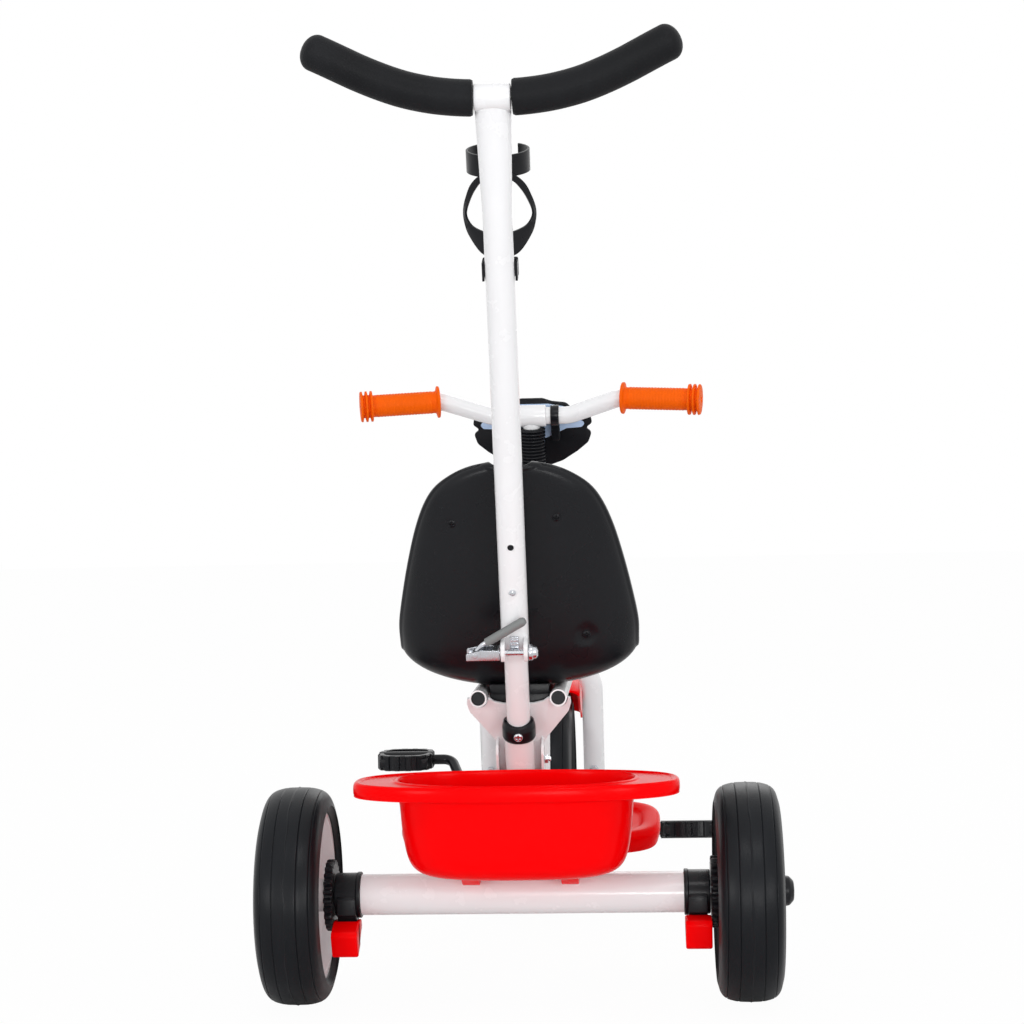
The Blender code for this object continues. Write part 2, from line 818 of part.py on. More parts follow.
for side, word in ((-1, "left"), (1, "right")):
    centre = v(side * PEDAL_X, FRONT_Y - side * CRANK_Y, FRONT_R - side * CRANK_UP)
    tilt = PEDAL_TILT if side > 0 else 0.0
    pedal_ahead = v(0, math.cos(tilt), -math.sin(tilt))
    pedal_axes = (ACROSS, pedal_ahead, ACROSS.cross(pedal_ahead))
    pedal = plate(
        "pedal_" + word,
        oval(33.5, 39.0, 3.0, 16),
        centre,
        ACROSS,
        pedal_ahead,
        -9.0,
        9.0,
        "black_plastic",
        holes=[oval(26.5, 32.0, 3.0, 16)],
    )
    sleeve = rod("sleeve", centre - v(32.0, 0, 0), centre + v(32.0, 0, 0), 10.0, "black_plastic", 12)
    across_bar = box("bar", (-29.0, -35.0, -5.0), (29.0, -22.0, 5.0), "black_plastic", centre, pedal_axes)
    other_bar = box("bar", (-29.0, 22.0, -5.0), (29.0, 35.0, 5.0), "black_plastic", centre, pedal_axes)
    join(pedal, [sleeve, across_bar, other_bar], "black_plastic")
    cut(
        pedal,
        [rod("bore", centre - v(45.0, 0, 0), centre + v(45.0, 0, 0), CRANK_R + 0.35, "black_plastic", 16)],
        "black_plastic",
    )

# Red fender over the front wheel, with side skirts and a boss up to the fork crown
FENDER_R = FRONT_R + 6.0
FENDER_REAR = 67.0
FENDER_FRONT = 140.0
FENDER_SKIRT = 32.0
FENDER_HALF = 45.4
fender_rings = []
for i in range(13):
    degrees = FENDER_REAR + (FENDER_FRONT - FENDER_REAR) * i / 12
    turn = math.radians(degrees)
    ends = min(degrees - FENDER_REAR, FENDER_FRONT - degrees, 22.0) / 22.0
    skirt = -2.0 - FENDER_SKIRT * math.sin(ends * math.pi / 2)
    section = [(FENDER_HALF, skirt), (FENDER_HALF, 0.5), (FENDER_HALF - 8.0, 5.0), (0.0, 6.5)]
    inside = [(0.0, 4.0), (FENDER_HALF - 9.2, 2.6), (FENDER_HALF - 2.4, -0.6), (FENDER_HALF - 2.4, skirt)]
    left = [(-x, drop) for x, drop in section]
    left_inside = [(-x, drop) for x, drop in reversed(inside[1:])]
    ring = []
    for x, drop in left + list(reversed(section[:-1])) + list(reversed(inside)) + list(reversed(left_inside)):
        reach = FENDER_R + drop
        ring.append(v(x, FRONT_Y - reach * math.cos(turn), FRONT_R + reach * math.sin(turn)))
    fender_rings.append(ring)
fender = loft("front_fender", fender_rings, "red_plastic")
crown_under = BEND_START + CROWN_RISE - FORK_R
boss = rod("boss", steer(FENDER_R + 4.5), steer(crown_under - 1.6), 9.0, "red_plastic", 12)
join(fender, [boss], "red_plastic")

# Push bar: lower tube, collar and screw, upper tube with clamp ears, button, clamp and lever
BUTTON_K = 151.0
EMPTY_HOLE_K = 195.5
SCREW_K = 5.5
lower = sweep("push_bar_lower", [bar(-110), bar(215)], LOWER_R, "white_paint", 9.5, 16)
cut(
    lower,
    [
        cross_bolt_hole("hole", 20),
        rod("hole", bar(BUTTON_K, 0, 2), bar(BUTTON_K, 0, 20), 3.1, "white_paint", 16),
        rod("hole", bar(SCREW_K, 0, 2), bar(SCREW_K, 0, 20), 2.3, "white_paint", 12),
    ],
    "white_paint",
)
collar = revolve(
    "socket_collar",
    [
        (BORE_R, COLLAR_LOW),
        (COLLAR_R - 1.2, COLLAR_LOW),
        (COLLAR_R, COLLAR_LOW + 2.5),
        (COLLAR_R, COLLAR_HIGH - 4.0),
        (COLLAR_R - 1.2, COLLAR_HIGH),
        (BORE_R, COLLAR_HIGH),
    ],
    bar(0),
    BAR_UP,
    "black_plastic",
    16,
)
cut(collar, [rod("hole", bar(SCREW_K, 0, 2), bar(SCREW_K, 0, 20), 2.3, "black_plastic", 12)], "black_plastic")
revolve(
    "collar_screw",
    [(0, 9.0), (2.0, 9.0), (2.0, 15.9), (4.4, 15.9), (4.0, 17.4), (2.2, 18.4), (0, 18.6)],
    bar(SCREW_K),
    BAR_BACK,
    "zinc_steel",
    14,
)

CLAMP_LOW = 85.5
UPPER_LOW = CLAMP_LOW - 0.6
CLAMP_HIGH = 105.5
CLAMP_K = 94.5
SLOT_HIGH = 110.0
CLAMP_H = 19.0
UPPER_HIGH = 597.0
FLAT_START = 500.0
upper_path = [bar(k) for k in (UPPER_LOW, FLAT_START, 535.0, 565.0, UPPER_HIGH)]
upper = sweep("push_bar_upper", upper_path, UPPER_R, "white_paint", BORE_R, 16)
for vertex in upper.data.vertices:
    from_axis = vertex.co / MM - bar(0)
    height = from_axis.dot(BAR_UP)
    share = max(0.0, (height - FLAT_START) / (UPPER_HIGH - FLAT_START))
    thinner = from_axis.dot(BAR_BACK) * 0.34 * share
    vertex.co += (ACROSS * (from_axis.x * 0.24 * share) - BAR_BACK * thinner) * MM
ears = []
for side in (-1, 1):
    ear_outline = [
        (-2.0, CLAMP_LOW),
        (-CLAMP_H, CLAMP_LOW),
        (-24.5, CLAMP_LOW + 3.0),
        (-27.0, CLAMP_K),
        (-24.5, CLAMP_HIGH - 3.0),
        (-CLAMP_H, CLAMP_HIGH),
        (-2.0, CLAMP_HIGH),
    ]
    ears.append(
        plate("ear", ear_outline, bar(0), -BAR_BACK, BAR_UP, side * 8.5, side * 12.6, "white_paint")
    )
join(upper, ears, "white_paint")
cut(
    upper,
    [
        rod("bore", bar(60), bar(140), BORE_R, "white_paint"),
        box("slot", (-3.5, 4.0, 60.0), (3.5, 30.0, SLOT_HIGH), "white_paint", bar(0), BAR_AXES),
        rod("hole", bar(CLAMP_K, -20, CLAMP_H), bar(CLAMP_K, 20, CLAMP_H), 3.2, "white_paint", 18),
        rod("hole", bar(BUTTON_K, 0, 2), bar(BUTTON_K, 0, 20), 3.2, "white_paint", 16),
        rod("hole", bar(EMPTY_HOLE_K, 0, 2), bar(EMPTY_HOLE_K, 0, 20), 3.2, "white_paint", 16),
        rod("cope", bar(HANDLE_K, -40), bar(HANDLE_K, 40), 11.3, "white_paint", 28),
    ],
    "white_paint",
)
revolve(
    "spring_button",
    [(0, 6.0), (4.0, 6.0), (4.0, 8.0), (2.75, 8.2), (2.75, 13.4), (1.8, 14.6), (0, 15.0)],
    bar(BUTTON_K),
    BAR_BACK,
    "zinc_steel",
    16,
)
revolve(
    "clamp_bolt",
    [
        (0, -19.5),
        (2.8, -19.5),
        (2.8, 13.0),
        (7.6, 13.0),
        (7.6, 16.5),
        (6.2, 19.5),
        (3.4, 21.4),
        (0, 22.0),
    ],
    bar(CLAMP_K, 0, CLAMP_H),
    ACROSS,
    "zinc_steel",
    18,
)
CHANNEL_LOW = (-44.0, 12.2, CLAMP_K - 5.0)
CHANNEL_HIGH = (-13.4, 25.8, CLAMP_K + 5.0)
HOLLOW_LOW = (-60.0, 14.2, CLAMP_K - 3.5)
HOLLOW_HIGH = (-19.8, 23.8, CLAMP_K + 20.0)
PIVOT_X = -36.0
channel = box("cam_channel", CHANNEL_LOW, CHANNEL_HIGH, "zinc_steel", bar(0), BAR_AXES)
cut(
    channel,
    [
        box("hollow", HOLLOW_LOW, HOLLOW_HIGH, "zinc_steel", bar(0), BAR_AXES),
        rod("hole", bar(CLAMP_K, -30, CLAMP_H), bar(CLAMP_K, 0, CLAMP_H), 3.1, "zinc_steel", 16),
    ],
    "zinc_steel",
)
pin = rod("pin", bar(CLAMP_K, PIVOT_X, 12.5), bar(CLAMP_K, PIVOT_X, 25.5), 1.6, "zinc_steel", 12)
rivet = rod("rivet", bar(CLAMP_K - 7.0, -33.0, CLAMP_H), bar(CLAMP_K - 4.0, -33.0, CLAMP_H), 3.0, "zinc_steel", 14)
join(channel, [pin, rivet], "zinc_steel")

LEVER_BEND = bar(CLAMP_K + 8.0, -29.0, CLAMP_H)
LEVER_END = bar(CLAMP_K + 30.5, 8.0, CLAMP_H)
lever_path = [bar(CLAMP_K + 1.0, PIVOT_X + 1.0, CLAMP_H), LEVER_BEND, LEVER_END]
lever = sweep("cam_lever", bent(lever_path, 10.0, 3), 2.5, "zinc_steel", 0.0, 10)
eye = rod("eye", bar(CLAMP_K, PIVOT_X, 14.8), bar(CLAMP_K, PIVOT_X, 23.2), 3.2, "zinc_steel", 18)
join(lever, [eye], "zinc_steel")
eye_hole = rod("eye_hole", bar(CLAMP_K, PIVOT_X, 5), bar(CLAMP_K, PIVOT_X, 32), 1.95, "zinc_steel", 14)
cut(lever, [eye_hole], "zinc_steel")
sleeve_dir = (LEVER_END - LEVER_BEND).normalized()
sleeve_start = LEVER_BEND + sleeve_dir * 4.0
sleeve_length = (LEVER_END - sleeve_start).length
revolve(
    "lever_sleeve",
    [
        (2.8, 0.0),
        (4.0, 0.0),
        (4.2, sleeve_length),
        (3.4, sleeve_length + 2.6),
        (0.0, sleeve_length + 4.0),
        (0.0, sleeve_length + 0.4),
        (2.8, sleeve_length + 0.4),
    ],
    sleeve_start,
    sleeve_dir,
    "grey_rubber",
    16,
)

# Cross tube at the top with its two foam grips
CROSS_R = 10.6
cross_half = [(0, 0), (22, 0.1), (50, 3.2), (78, 10.0), (104, 20.3), (127, 31.5), (146, 41.0)]
cross_path = [bar(HANDLE_K + up, -x) for x, up in reversed(cross_half)]
cross_path += [bar(HANDLE_K + up, x) for x, up in cross_half[1:]]
cross = sweep("handle_cross_tube", cross_path, CROSS_R, "white_paint", 9.0)
centre_sleeve = rod("sleeve", bar(HANDLE_K, -15.4), bar(HANDLE_K, 15.4), 11.0, "white_paint", 24)
join(cross, [centre_sleeve], "white_paint")
FOAM_R = 15.5
for side, word in ((-1, "left"), (1, "right")):
    full_half = [(15.8, 0.0)] + cross_half[1:] + [(150.5, 43.2), (154.5, 45.2), (157, 46.4)]
    path = [bar(HANDLE_K + up, side * x) for x, up in full_half]
    widths = [1.0] * (len(path) - 3) + [0.95, 0.76, 0.4]
    foam = sweep("foam_grip_" + word, path, FOAM_R, "black_foam", 0.0, 12, widths)
    core_half = [(10.0, 0.0)] + cross_half[1:] + [(146.6, 41.3)]
    core_path = [bar(HANDLE_K + up, side * x) for x, up in core_half]
    core = sweep("core", core_path, CROSS_R + 0.8, "black_foam")
    cut(foam, [core], "black_foam")

# Bottle cage on the front of the bar: strip, upper band, two side arms and a foot
CAGE_AHEAD = UPPER_R + GAP
cage_axes = (ACROSS, -BAR_BACK, BAR_UP)
strip_low = (-7.0, CAGE_AHEAD + 0.4, 455.0)
strip_high = (7.0, CAGE_AHEAD + 3.2, 552.0)
cage = box("bottle_cage", strip_low, strip_high, "black_plastic", bar(0), cage_axes)
RING_AHEAD = CAGE_AHEAD + 29.5
BAND_LOW = 527.0
BAND_HIGH = 546.0
band = []
for radius in (27.8, 25.6):
    arc = []
    for i in range(21):
        turn = math.radians(-90.0 - 140.0 + 280.0 * i / 20)
        arc.append((radius * math.cos(turn), RING_AHEAD + radius * math.sin(turn)))
    band.append(arc)
band_outline = band[0] + list(reversed(band[1]))
upper_band = plate("band", band_outline, bar(0), ACROSS, -BAR_BACK, BAND_LOW, BAND_HIGH, "black_plastic")
ARM_THICK = 2.2
ARM_EDGES = (
    ((2.0, 2.4, 526.0), (2.0, 2.4, 533.0)),
    ((12.0, 5.0, 524.0), (13.0, 5.0, 530.0)),
    ((20.0, 10.0, 514.0), (22.0, 10.5, 521.0)),
    ((25.5, 15.0, 502.0), (27.0, 16.0, 509.0)),
    ((28.0, 17.5, 493.0), (30.0, 21.5, 495.0)),
    ((26.5, 17.5, 487.0), (29.6, 22.0, 483.5)),
    ((22.0, 14.0, 482.0), (26.0, 18.0, 473.0)),
    ((13.0, 8.0, 479.0), (16.0, 9.5, 460.0)),
    ((3.0, 2.4, 478.0), (4.0, 2.4, 455.5)),
)


def cage_point(side, corner):
    x, ahead, k = corner
    return bar(k, side * x, -(CAGE_AHEAD + ahead))


arms = []
for side in (-1, 1):
    inner = [cage_point(side, near) for near, far in ARM_EDGES]
    outer = [cage_point(side, far) for near, far in ARM_EDGES]
    last = len(ARM_EDGES) - 1
    rings = []
    for i in range(last + 1):
        along = inner[min(i + 1, last)] - inner[max(i - 1, 0)] + outer[min(i + 1, last)] - outer[max(i - 1, 0)]
        thick = along.cross(outer[i] - inner[i]).normalized() * (ARM_THICK * side)
        rings.append([inner[i], outer[i], outer[i] + thick, inner[i] + thick])
    arms.append(loft("arm", rings, "black_plastic"))
foot_pieces = []
for word, low, high in (
    ("shelf", (-9.0, 1.0, 446.0), (9.0, 51.0, 449.0)),
    ("lip", (-9.4, 49.0, 445.4), (9.4, 52.0, 458.0)),
    ("tail", (-15.6, 0.0, 440.0), (15.6, 4.0, 457.0)),
    ("left_strip", (-15.4, -10.0, 440.6), (-13.3, 3.4, 456.4)),
    ("right_strip", (13.3, -10.0, 440.6), (15.4, 3.4, 456.4)),
):
    low = (low[0], low[1] + CAGE_AHEAD, low[2])
    high = (high[0], high[1] + CAGE_AHEAD, high[2])
    foot_pieces.append(box(word, low, high, "black_plastic", bar(0), cage_axes))
join(cage, [upper_band] + arms + foot_pieces, "black_plastic")

# Seat shell: rows from the front lip of the pan, round the back, to the top
SEAT_THICK = 3.2
seat_rows = [
    (222.0, 303.6, 56.7, 6.0, 62.0),
    (214.0, 298.6, 80.1, 12.0, 80.0),
    (196.0, 295.6, 93.8, 22.0, 88.0),
    (160.0, 294.6, 103.6, 33.0, 90.0),
    (120.0, 294.6, 107.5, 42.0, 90.0),
    (80.0, 294.6, 109.0, 48.0, 92.0),
    (48.0, 295.1, 109.3, 48.0, 100.0),
    (26.0, 299.0, 109.3, 44.0, 118.0),
    (12.0, 309.0, 109.3, 40.0, 140.0),
    (4.0, 324.0, 109.3, 36.0, 155.0),
    (-4.0, 346.0, 109.0, 33.0, 160.0),
    (-15.0, 375.7, 103.6, 30.0, 160.0),
    (-27.0, 407.4, 96.3, 27.0, 160.0),
    (-38.0, 436.8, 88.0, 24.0, 160.0),
    (-47.0, 460.2, 78.7, 20.0, 161.0),
    (-53.0, 475.8, 68.4, 16.0, 162.0),
    (-57.5, 487.5, 53.8, 12.0, 164.0),
    (-60.5, 495.2, 38.1, 9.0, 166.0),
    (-62.3, 500.0, 19.5, 6.0, 168.0),
]
SEAT_COLUMNS = 12
SEAT_POWER = 2.2
seat_points = []
for y, z, half, rise, tilt in seat_rows:
    lean = math.radians(tilt)
    inward = v(0, math.cos(lean) * -1.0, math.sin(lean))
    for i in range(SEAT_COLUMNS + 1):
        turn = math.pi * i / SEAT_COLUMNS
        c = -math.cos(turn)
        x = half * math.copysign(abs(c) ** (2 / SEAT_POWER), c)
        up = rise * (1.0 - abs(math.sin(turn)) ** (2 / SEAT_POWER))
        seat_points.append(v(x, y, z) + inward * up)
seat_faces = []
width = SEAT_COLUMNS + 1
for row in range(len(seat_rows) - 1):
    for i in range(SEAT_COLUMNS):
        a = row * width + i
        seat_faces.append((a, a + 1, a + width + 1, a + width))
seat_mesh = bpy.data.meshes.new("seat_shell")
seat_mesh.from_pydata([tuple(p * MM) for p in seat_points], [], seat_faces)
seat = linked("seat_shell", seat_mesh)
shell = seat.modifiers.new("wall", "SOLIDIFY")
shell.thickness = SEAT_THICK * MM
shell.offset = 1.0
finished(seat, "black_plastic")

# A block under the shell lies between the rails, rests on the strip and has a skirt behind the strip
BLOCK_HALF = RAIL_X - RAIL_R - 1.0
BLOCK_LOW = 275.0
BLOCK_TOP = 296.0
BLOCK_FRONT = 150.0
SKIRT_LOW = 270.0
skirt_front = STRIP_BACK - GAP
skirt_back = skirt_front - 4.0
block_step = STRIP_FRONT + 6.0
block_shape = [(skirt_back, SKIRT_LOW), (skirt_front, SKIRT_LOW), (skirt_front, STRIP_HIGH + GAP)]
block_shape += [(block_step, STRIP_HIGH + GAP), (block_step, BLOCK_LOW), (BLOCK_FRONT, BLOCK_LOW)]
block_shape += [(BLOCK_FRONT, BLOCK_TOP), (skirt_back, BLOCK_TOP)]
block = plate("block", block_shape, v(0, 0, 0), AHEAD, UP, -BLOCK_HALF, BLOCK_HALF, "black_plastic")
join(seat, [block], "black_plastic")

# Screws in the back of the shell, each square to the surface where it stands
SCREW_R = 1.7
SCREW_HEAD_R = 4.0
for word, x, z in (("left", -56.0, 450.0), ("right", 40.0, 454.0), ("low", 64.5, 343.5)):
    _, where, normal, _ = seat.ray_cast(v(x, -200.0, z) * MM, AHEAD)
    where = where / MM
    hole = rod("hole", where - normal * 12, where + normal * 5, SCREW_R + GAP, "black_plastic", 10)
    cut(seat, [hole], "black_plastic")
    revolve(
        "seat_screw_" + word,
        [(0, -7.0), (SCREW_R, -7.0), (SCREW_R, GAP), (SCREW_HEAD_R, GAP), (SCREW_HEAD_R - 0.8, 1.9), (0, 2.4)],
        where,
        normal,
        "black_steel",
        12,
    )

# Footrest: a shallow tray on the main tube, tilted up at its front
FOOT_CENTRE = v(0, 190, 142)
FOOT_TILT = math.radians(14.0)
foot_rows = (
    (106.0, 26.0, -3.0),
    (110.0, 30.0, -3.0),
    (114.0, 34.0, 0.0),
    (126.0, 46.0, 0.8),
    (131.0, 50.0, -2.0),
    (132.0, 51.0, -6.0),
    (129.0, 48.0, -19.0),
    (126.6, 45.6, -19.0),
    (129.2, 48.2, -6.5),
    (124.0, 44.0, -4.5),
    (106.0, 26.0, -5.6),
)
turn_foot = Matrix.Rotation(FOOT_TILT, 3, "X")
foot_rings = []
for half_x, half_y, z in foot_rows:
    foot_rings.append([turn_foot @ v(x, y, z) + FOOT_CENTRE for x, y in oval(half_x, half_y, 4.0)])
footrest = loft("footrest", foot_rings, "red_plastic")
boss = box("boss", (-13.0, 178.0, 104.0), (13.0, 206.0, 138.0), "red_plastic")
join(footrest, [boss], "red_plastic")
cut(
    footrest,
    [sweep("room", main_path, MAIN_R + GAP, "red_plastic")],
    "red_plastic",
)

# Basket: an oval tub with flat side handles, and two feet that hook on the axle tube
BASKET_Y = -69.0
basket_rows = (
    (66.0, 26.0, 131.5, 2.4),
    (79.0, 36.0, 131.8, 2.4),
    (92.0, 46.0, 137.5, 2.4),
    (99.5, 51.5, 149.0, 2.4),
    (104.0, 54.5, 172.0, 2.4),
    (106.5, 56.5, 202.0, 2.4),
    (109.5, 58.0, 205.5, 2.4),
    (146.0, 61.0, 204.0, 2.5),
    (148.0, 62.5, 207.0, 2.5),
    (147.6, 62.2, 216.0, 2.5),
    (145.5, 60.8, 218.3, 2.5),
    (111.0, 56.0, 218.0, 2.4),
    (107.5, 54.4, 215.5, 2.4),
    (104.0, 53.6, 202.0, 2.4),
    (101.5, 52.0, 172.0, 2.4),
    (97.0, 49.0, 150.0, 2.4),
    (90.0, 43.6, 140.0, 2.4),
    (78.0, 34.0, 134.6, 2.4),
    (66.0, 26.0, 134.3, 2.4),
)
basket_rings = []
for half_x, half_y, z, power in basket_rows:
    basket_rings.append([v(x, y + BASKET_Y, z) for x, y in oval(half_x, half_y, power)])
basket = loft("basket", basket_rings, "red_plastic")
HOOK_X = (38.0, 54.0)
hook_shape = [(-58, 132.5), (-52, 127), (-31, 115), (-24, 113), (-16, 113), (6, 119), (8, 124.5), (-20, 140)]
ledge_shape = [(-64, 133), (-60, 126.5), (-36, 124), (-32, 133)]
hooks = [plate("ledge", ledge_shape, v(0, 0, 0), AHEAD, UP, -HOOK_X[1], HOOK_X[1], "red_plastic")]
for side in (-1, 1):
    hooks.append(plate("hook", hook_shape, v(0, 0, 0), AHEAD, UP, side * HOOK_X[0], side * HOOK_X[1], "red_plastic"))
tub = loft("tub", basket_rings[13:], "red_plastic")
axle_room = rod("room", v(-80, 0, REAR_R), v(80, 0, REAR_R), AXLE_TUBE_R + GAP, "red_plastic", 32)
join(basket, hooks, "red_plastic")
cut(basket, [axle_room, tub], "red_plastic")

# The whole tricycle is moved along until its middle lies over the origin
reach = [vertex.co.y for item in TRICYCLE.objects for vertex in item.data.vertices]
middle = (min(reach) + max(reach)) / 2
for item in TRICYCLE.objects:
    for vertex in item.data.vertices:
        vertex.co.y -= middle

# Each moving piece has its origin on the axis that it moves on
STEERED = ["fork", "bellows", "handlebar", "front_fender", "front_plate", "plate_trim", "bar_clip"]
SLID = ["push_bar_upper", "clamp_bolt", "cam_channel", "handle_cross_tube", "bottle_cage", "spring_button"]
on_axes = [
    (steer(MAIN_JOIN), STEERED),
    (steer(0), ["front_tyre", "front_rim", "crank_axle"]),
    (bar(CLAMP_K), SLID + ["foam_grip_left", "foam_grip_right"]),
    (bar(CLAMP_K, PIVOT_X, CLAMP_H), ["cam_lever", "lever_sleeve"]),
]
for side, word in ((-1, "left"), (1, "right")):
    for name in ("axle_bracket_", "bracket_bolt_", "handlebar_grip_"):
        STEERED.append(name + word)
    pedal_centre = v(side * PEDAL_X, FRONT_Y - side * CRANK_Y, FRONT_R - side * CRANK_UP)
    on_axes.append((pedal_centre, ["pedal_" + word]))
    rolling = [name + word for name in ("rear_tyre_", "rear_rim_", "wheel_flange_")]
    on_axes.append((v(side * REAR_X, 0, REAR_R), rolling))
    on_axes.append((v(side * (PAD_IN + PAD_OUT) / 2, PIVOT_Y, PIVOT_Z), ["brake_pedal_" + word]))
for pivot, names in on_axes:
    place = pivot * MM - v(0, middle, 0)
    for name in names:
        item = bpy.data.objects[name]
        item.data.transform(Matrix.Translation(-place))
        item.matrix_world = Matrix.Translation(place)
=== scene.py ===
"""A children's tricycle with a push handle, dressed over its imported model.

Lengths are millimetres from the point on the floor below the rear axle's middle: X to the rider's
right, Y forward, Z up. `placed` turns them into the frame's metres.
"""

import json
import math

import bmesh
import bpy
import numpy as np
from mathutils import Matrix, Vector


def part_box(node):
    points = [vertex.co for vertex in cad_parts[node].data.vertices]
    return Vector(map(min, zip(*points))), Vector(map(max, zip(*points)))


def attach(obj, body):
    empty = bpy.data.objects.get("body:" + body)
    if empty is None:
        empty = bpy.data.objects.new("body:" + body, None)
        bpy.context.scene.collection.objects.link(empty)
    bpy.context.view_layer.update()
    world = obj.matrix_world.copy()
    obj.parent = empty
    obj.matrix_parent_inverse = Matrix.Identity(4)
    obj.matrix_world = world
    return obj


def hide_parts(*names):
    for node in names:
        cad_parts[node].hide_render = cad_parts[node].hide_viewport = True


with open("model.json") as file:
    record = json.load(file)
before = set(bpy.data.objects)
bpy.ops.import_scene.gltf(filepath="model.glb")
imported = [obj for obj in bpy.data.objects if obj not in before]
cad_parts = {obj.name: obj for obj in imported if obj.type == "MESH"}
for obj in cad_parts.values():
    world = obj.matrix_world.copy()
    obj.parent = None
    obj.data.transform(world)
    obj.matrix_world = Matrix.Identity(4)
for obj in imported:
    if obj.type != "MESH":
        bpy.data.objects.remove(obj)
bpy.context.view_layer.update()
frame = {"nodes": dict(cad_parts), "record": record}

MM = 0.001
axle_low, axle_high = (np.array(corner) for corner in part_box("rear_axle"))
AXLE_Y = (axle_low[1] + axle_high[1]) / 2 / MM

# Sizes as on the solid model. S is up the steering axis from the front axle, K up the push bar
# from its collar, H behind that bar; a name ending in R is a radius, one in HALF a half width.
REAR_R = 101.0
REAR_X = 210.5
REAR_HALF = 30.5
REAR_BAND = 22.0
AXLE_ROD_R = 4.9
AXLE_END = 242.0
FRONT_R = 124.0
FRONT_Y = 500.0
FRONT_HALF = 36.0
FRONT_BAND = 24.0
TUBE_R = 19.0
TUBE_END = 151.0
MAIN_R = 16.5
MAIN_JOIN = 262.0
HEAD_LOW = 200.0
HEAD_HIGH = 330.0
RAKE = math.radians(17.0)
LEAN = math.radians(21.1)
BAR_Y = -1.4
BAR_Z = 250.0
BRAKE_PIVOT = (-9.0, 74.0)
PRESSED = math.radians(13.0)
UPPER_R = 12.75
LOWER_R = 11.0
SOCKET_R = 14.0
FORK_X = 59.5
FORK_R = 12.0
CROWN_S = 128.0
CROWN_RISE = 50.5
FOOT_S = 17.0
FORK_BOLT_S = 36.0
STEERER_LOW = 177.0
STEERER_R = 12.6
STEM_R = 9.5
CRANK_R = 5.9
CRANK_AHEAD = 60.0
CRANK_DOWN = 34.0
PEDAL_X = 166.5
FENDER_R = FRONT_R + 6.0
# Where the fender starts and ends, in degrees round the axle from straight back over the top
FENDER_REAR = 67.0
FENDER_FRONT = 140.0
FENDER_SKIRT = 32.0
FENDER_HALF = 45.4
RAIL_X = 37.5
RAIL_Z = 285.0
RAIL_R = 8.0
HANDLE_K = 599.0
FOAM_R = 15.5
BAR_CENTRE_Z = 560.0
CLAMP_K = 94.5
CLAMP_H = 19.0
RIVET_X = -36.0
BUTTON_K = 151.0
EMPTY_HOLE_K = 195.5
GRIP_LENGTH = 88.0
HANDLEBAR_R = 9.5
BAR_KNEE = (97.0, -8.0, 577.5)
BAR_END = (183.0, -23.2, 573.2)
TURN = 2 * math.pi
# Half the angle at a corner that is too flat to round
NEARLY_STRAIGHT = 1.56

# How brightly the white surroundings light the tricycle; seen directly or mirrored, they are at 1
AROUND = 0.75

ACROSS = np.array([1.0, 0.0, 0.0])
AHEAD = np.array([0.0, 1.0, 0.0])
UP = np.array([0.0, 0.0, 1.0])
SIDES = ((-1, "left"), (1, "right"))


def steer(s, x=0.0, n=0.0):
    """A point s up the steering axis from the front axle, n ahead of it."""
    y = FRONT_Y - s * math.sin(RAKE) + n * math.cos(RAKE)
    z = FRONT_R + s * math.cos(RAKE) + n * math.sin(RAKE)
    return np.array([x, y, z])


def bar(k, x=0.0, h=0.0):
    """A point k up the push bar from its collar, h behind its axis."""
    y = BAR_Y - k * math.sin(LEAN) - h * math.cos(LEAN)
    z = BAR_Z + k * math.cos(LEAN) - h * math.sin(LEAN)
    return np.array([x, y, z])


STEER_UP = steer(1) - steer(0)
STEER_AHEAD = steer(0, n=1) - steer(0)
BAR_UP = bar(1) - bar(0)
BAR_BACK = bar(0, h=1) - bar(0)

# Planes that slabs are drawn on: a point and two directions
SIDE_PLANE = (np.zeros(3), AHEAD, UP)
FLAT_PLANE = (np.zeros(3), ACROSS, AHEAD)
BAR_PLANE = (bar(0), ACROSS, BAR_UP)
FORK_PLANE = (steer(0), ACROSS, STEER_UP)


def unit(vectors):
    return vectors / np.linalg.norm(vectors, axis=-1, keepdims=True)


def smooth(x, low, high):
    """0 below low and 1 above high, with a soft step between."""
    t = np.clip((x - low) / (high - low), 0.0, 1.0)
    return t * t * (3 - 2 * t)


def full_turn(count):
    """Angles evenly spaced once round."""
    return np.linspace(0.0, TURN, count, endpoint=False)


def placed(points):
    """Millimetres from the rear axle's foot as metres in the frame."""
    return (np.asarray(points) + np.array([0.0, AXLE_Y, 0.0])) * MM


class Value:
    """A shader socket that takes part in Python arithmetic."""

    def __init__(self, tree, socket):
        self.tree = tree
        self.socket = socket

    def maths(self, operation, other):
        node = self.tree.nodes.new("ShaderNodeMath")
        node.operation = operation
        for slot, value in ((0, self), (1, other)):
            if isinstance(value, Value):
                self.tree.links.new(value.socket, node.inputs[slot])
            else:
                node.inputs[slot].default_value = value
        return Value(self.tree, node.outputs[0])

    def __add__(self, other):
        return self.maths("ADD", other)

    __radd__ = __add__

    def __mul__(self, other):
        return self.maths("MULTIPLY", other)

    def power(self, exponent):
        return self.maths("POWER", exponent)


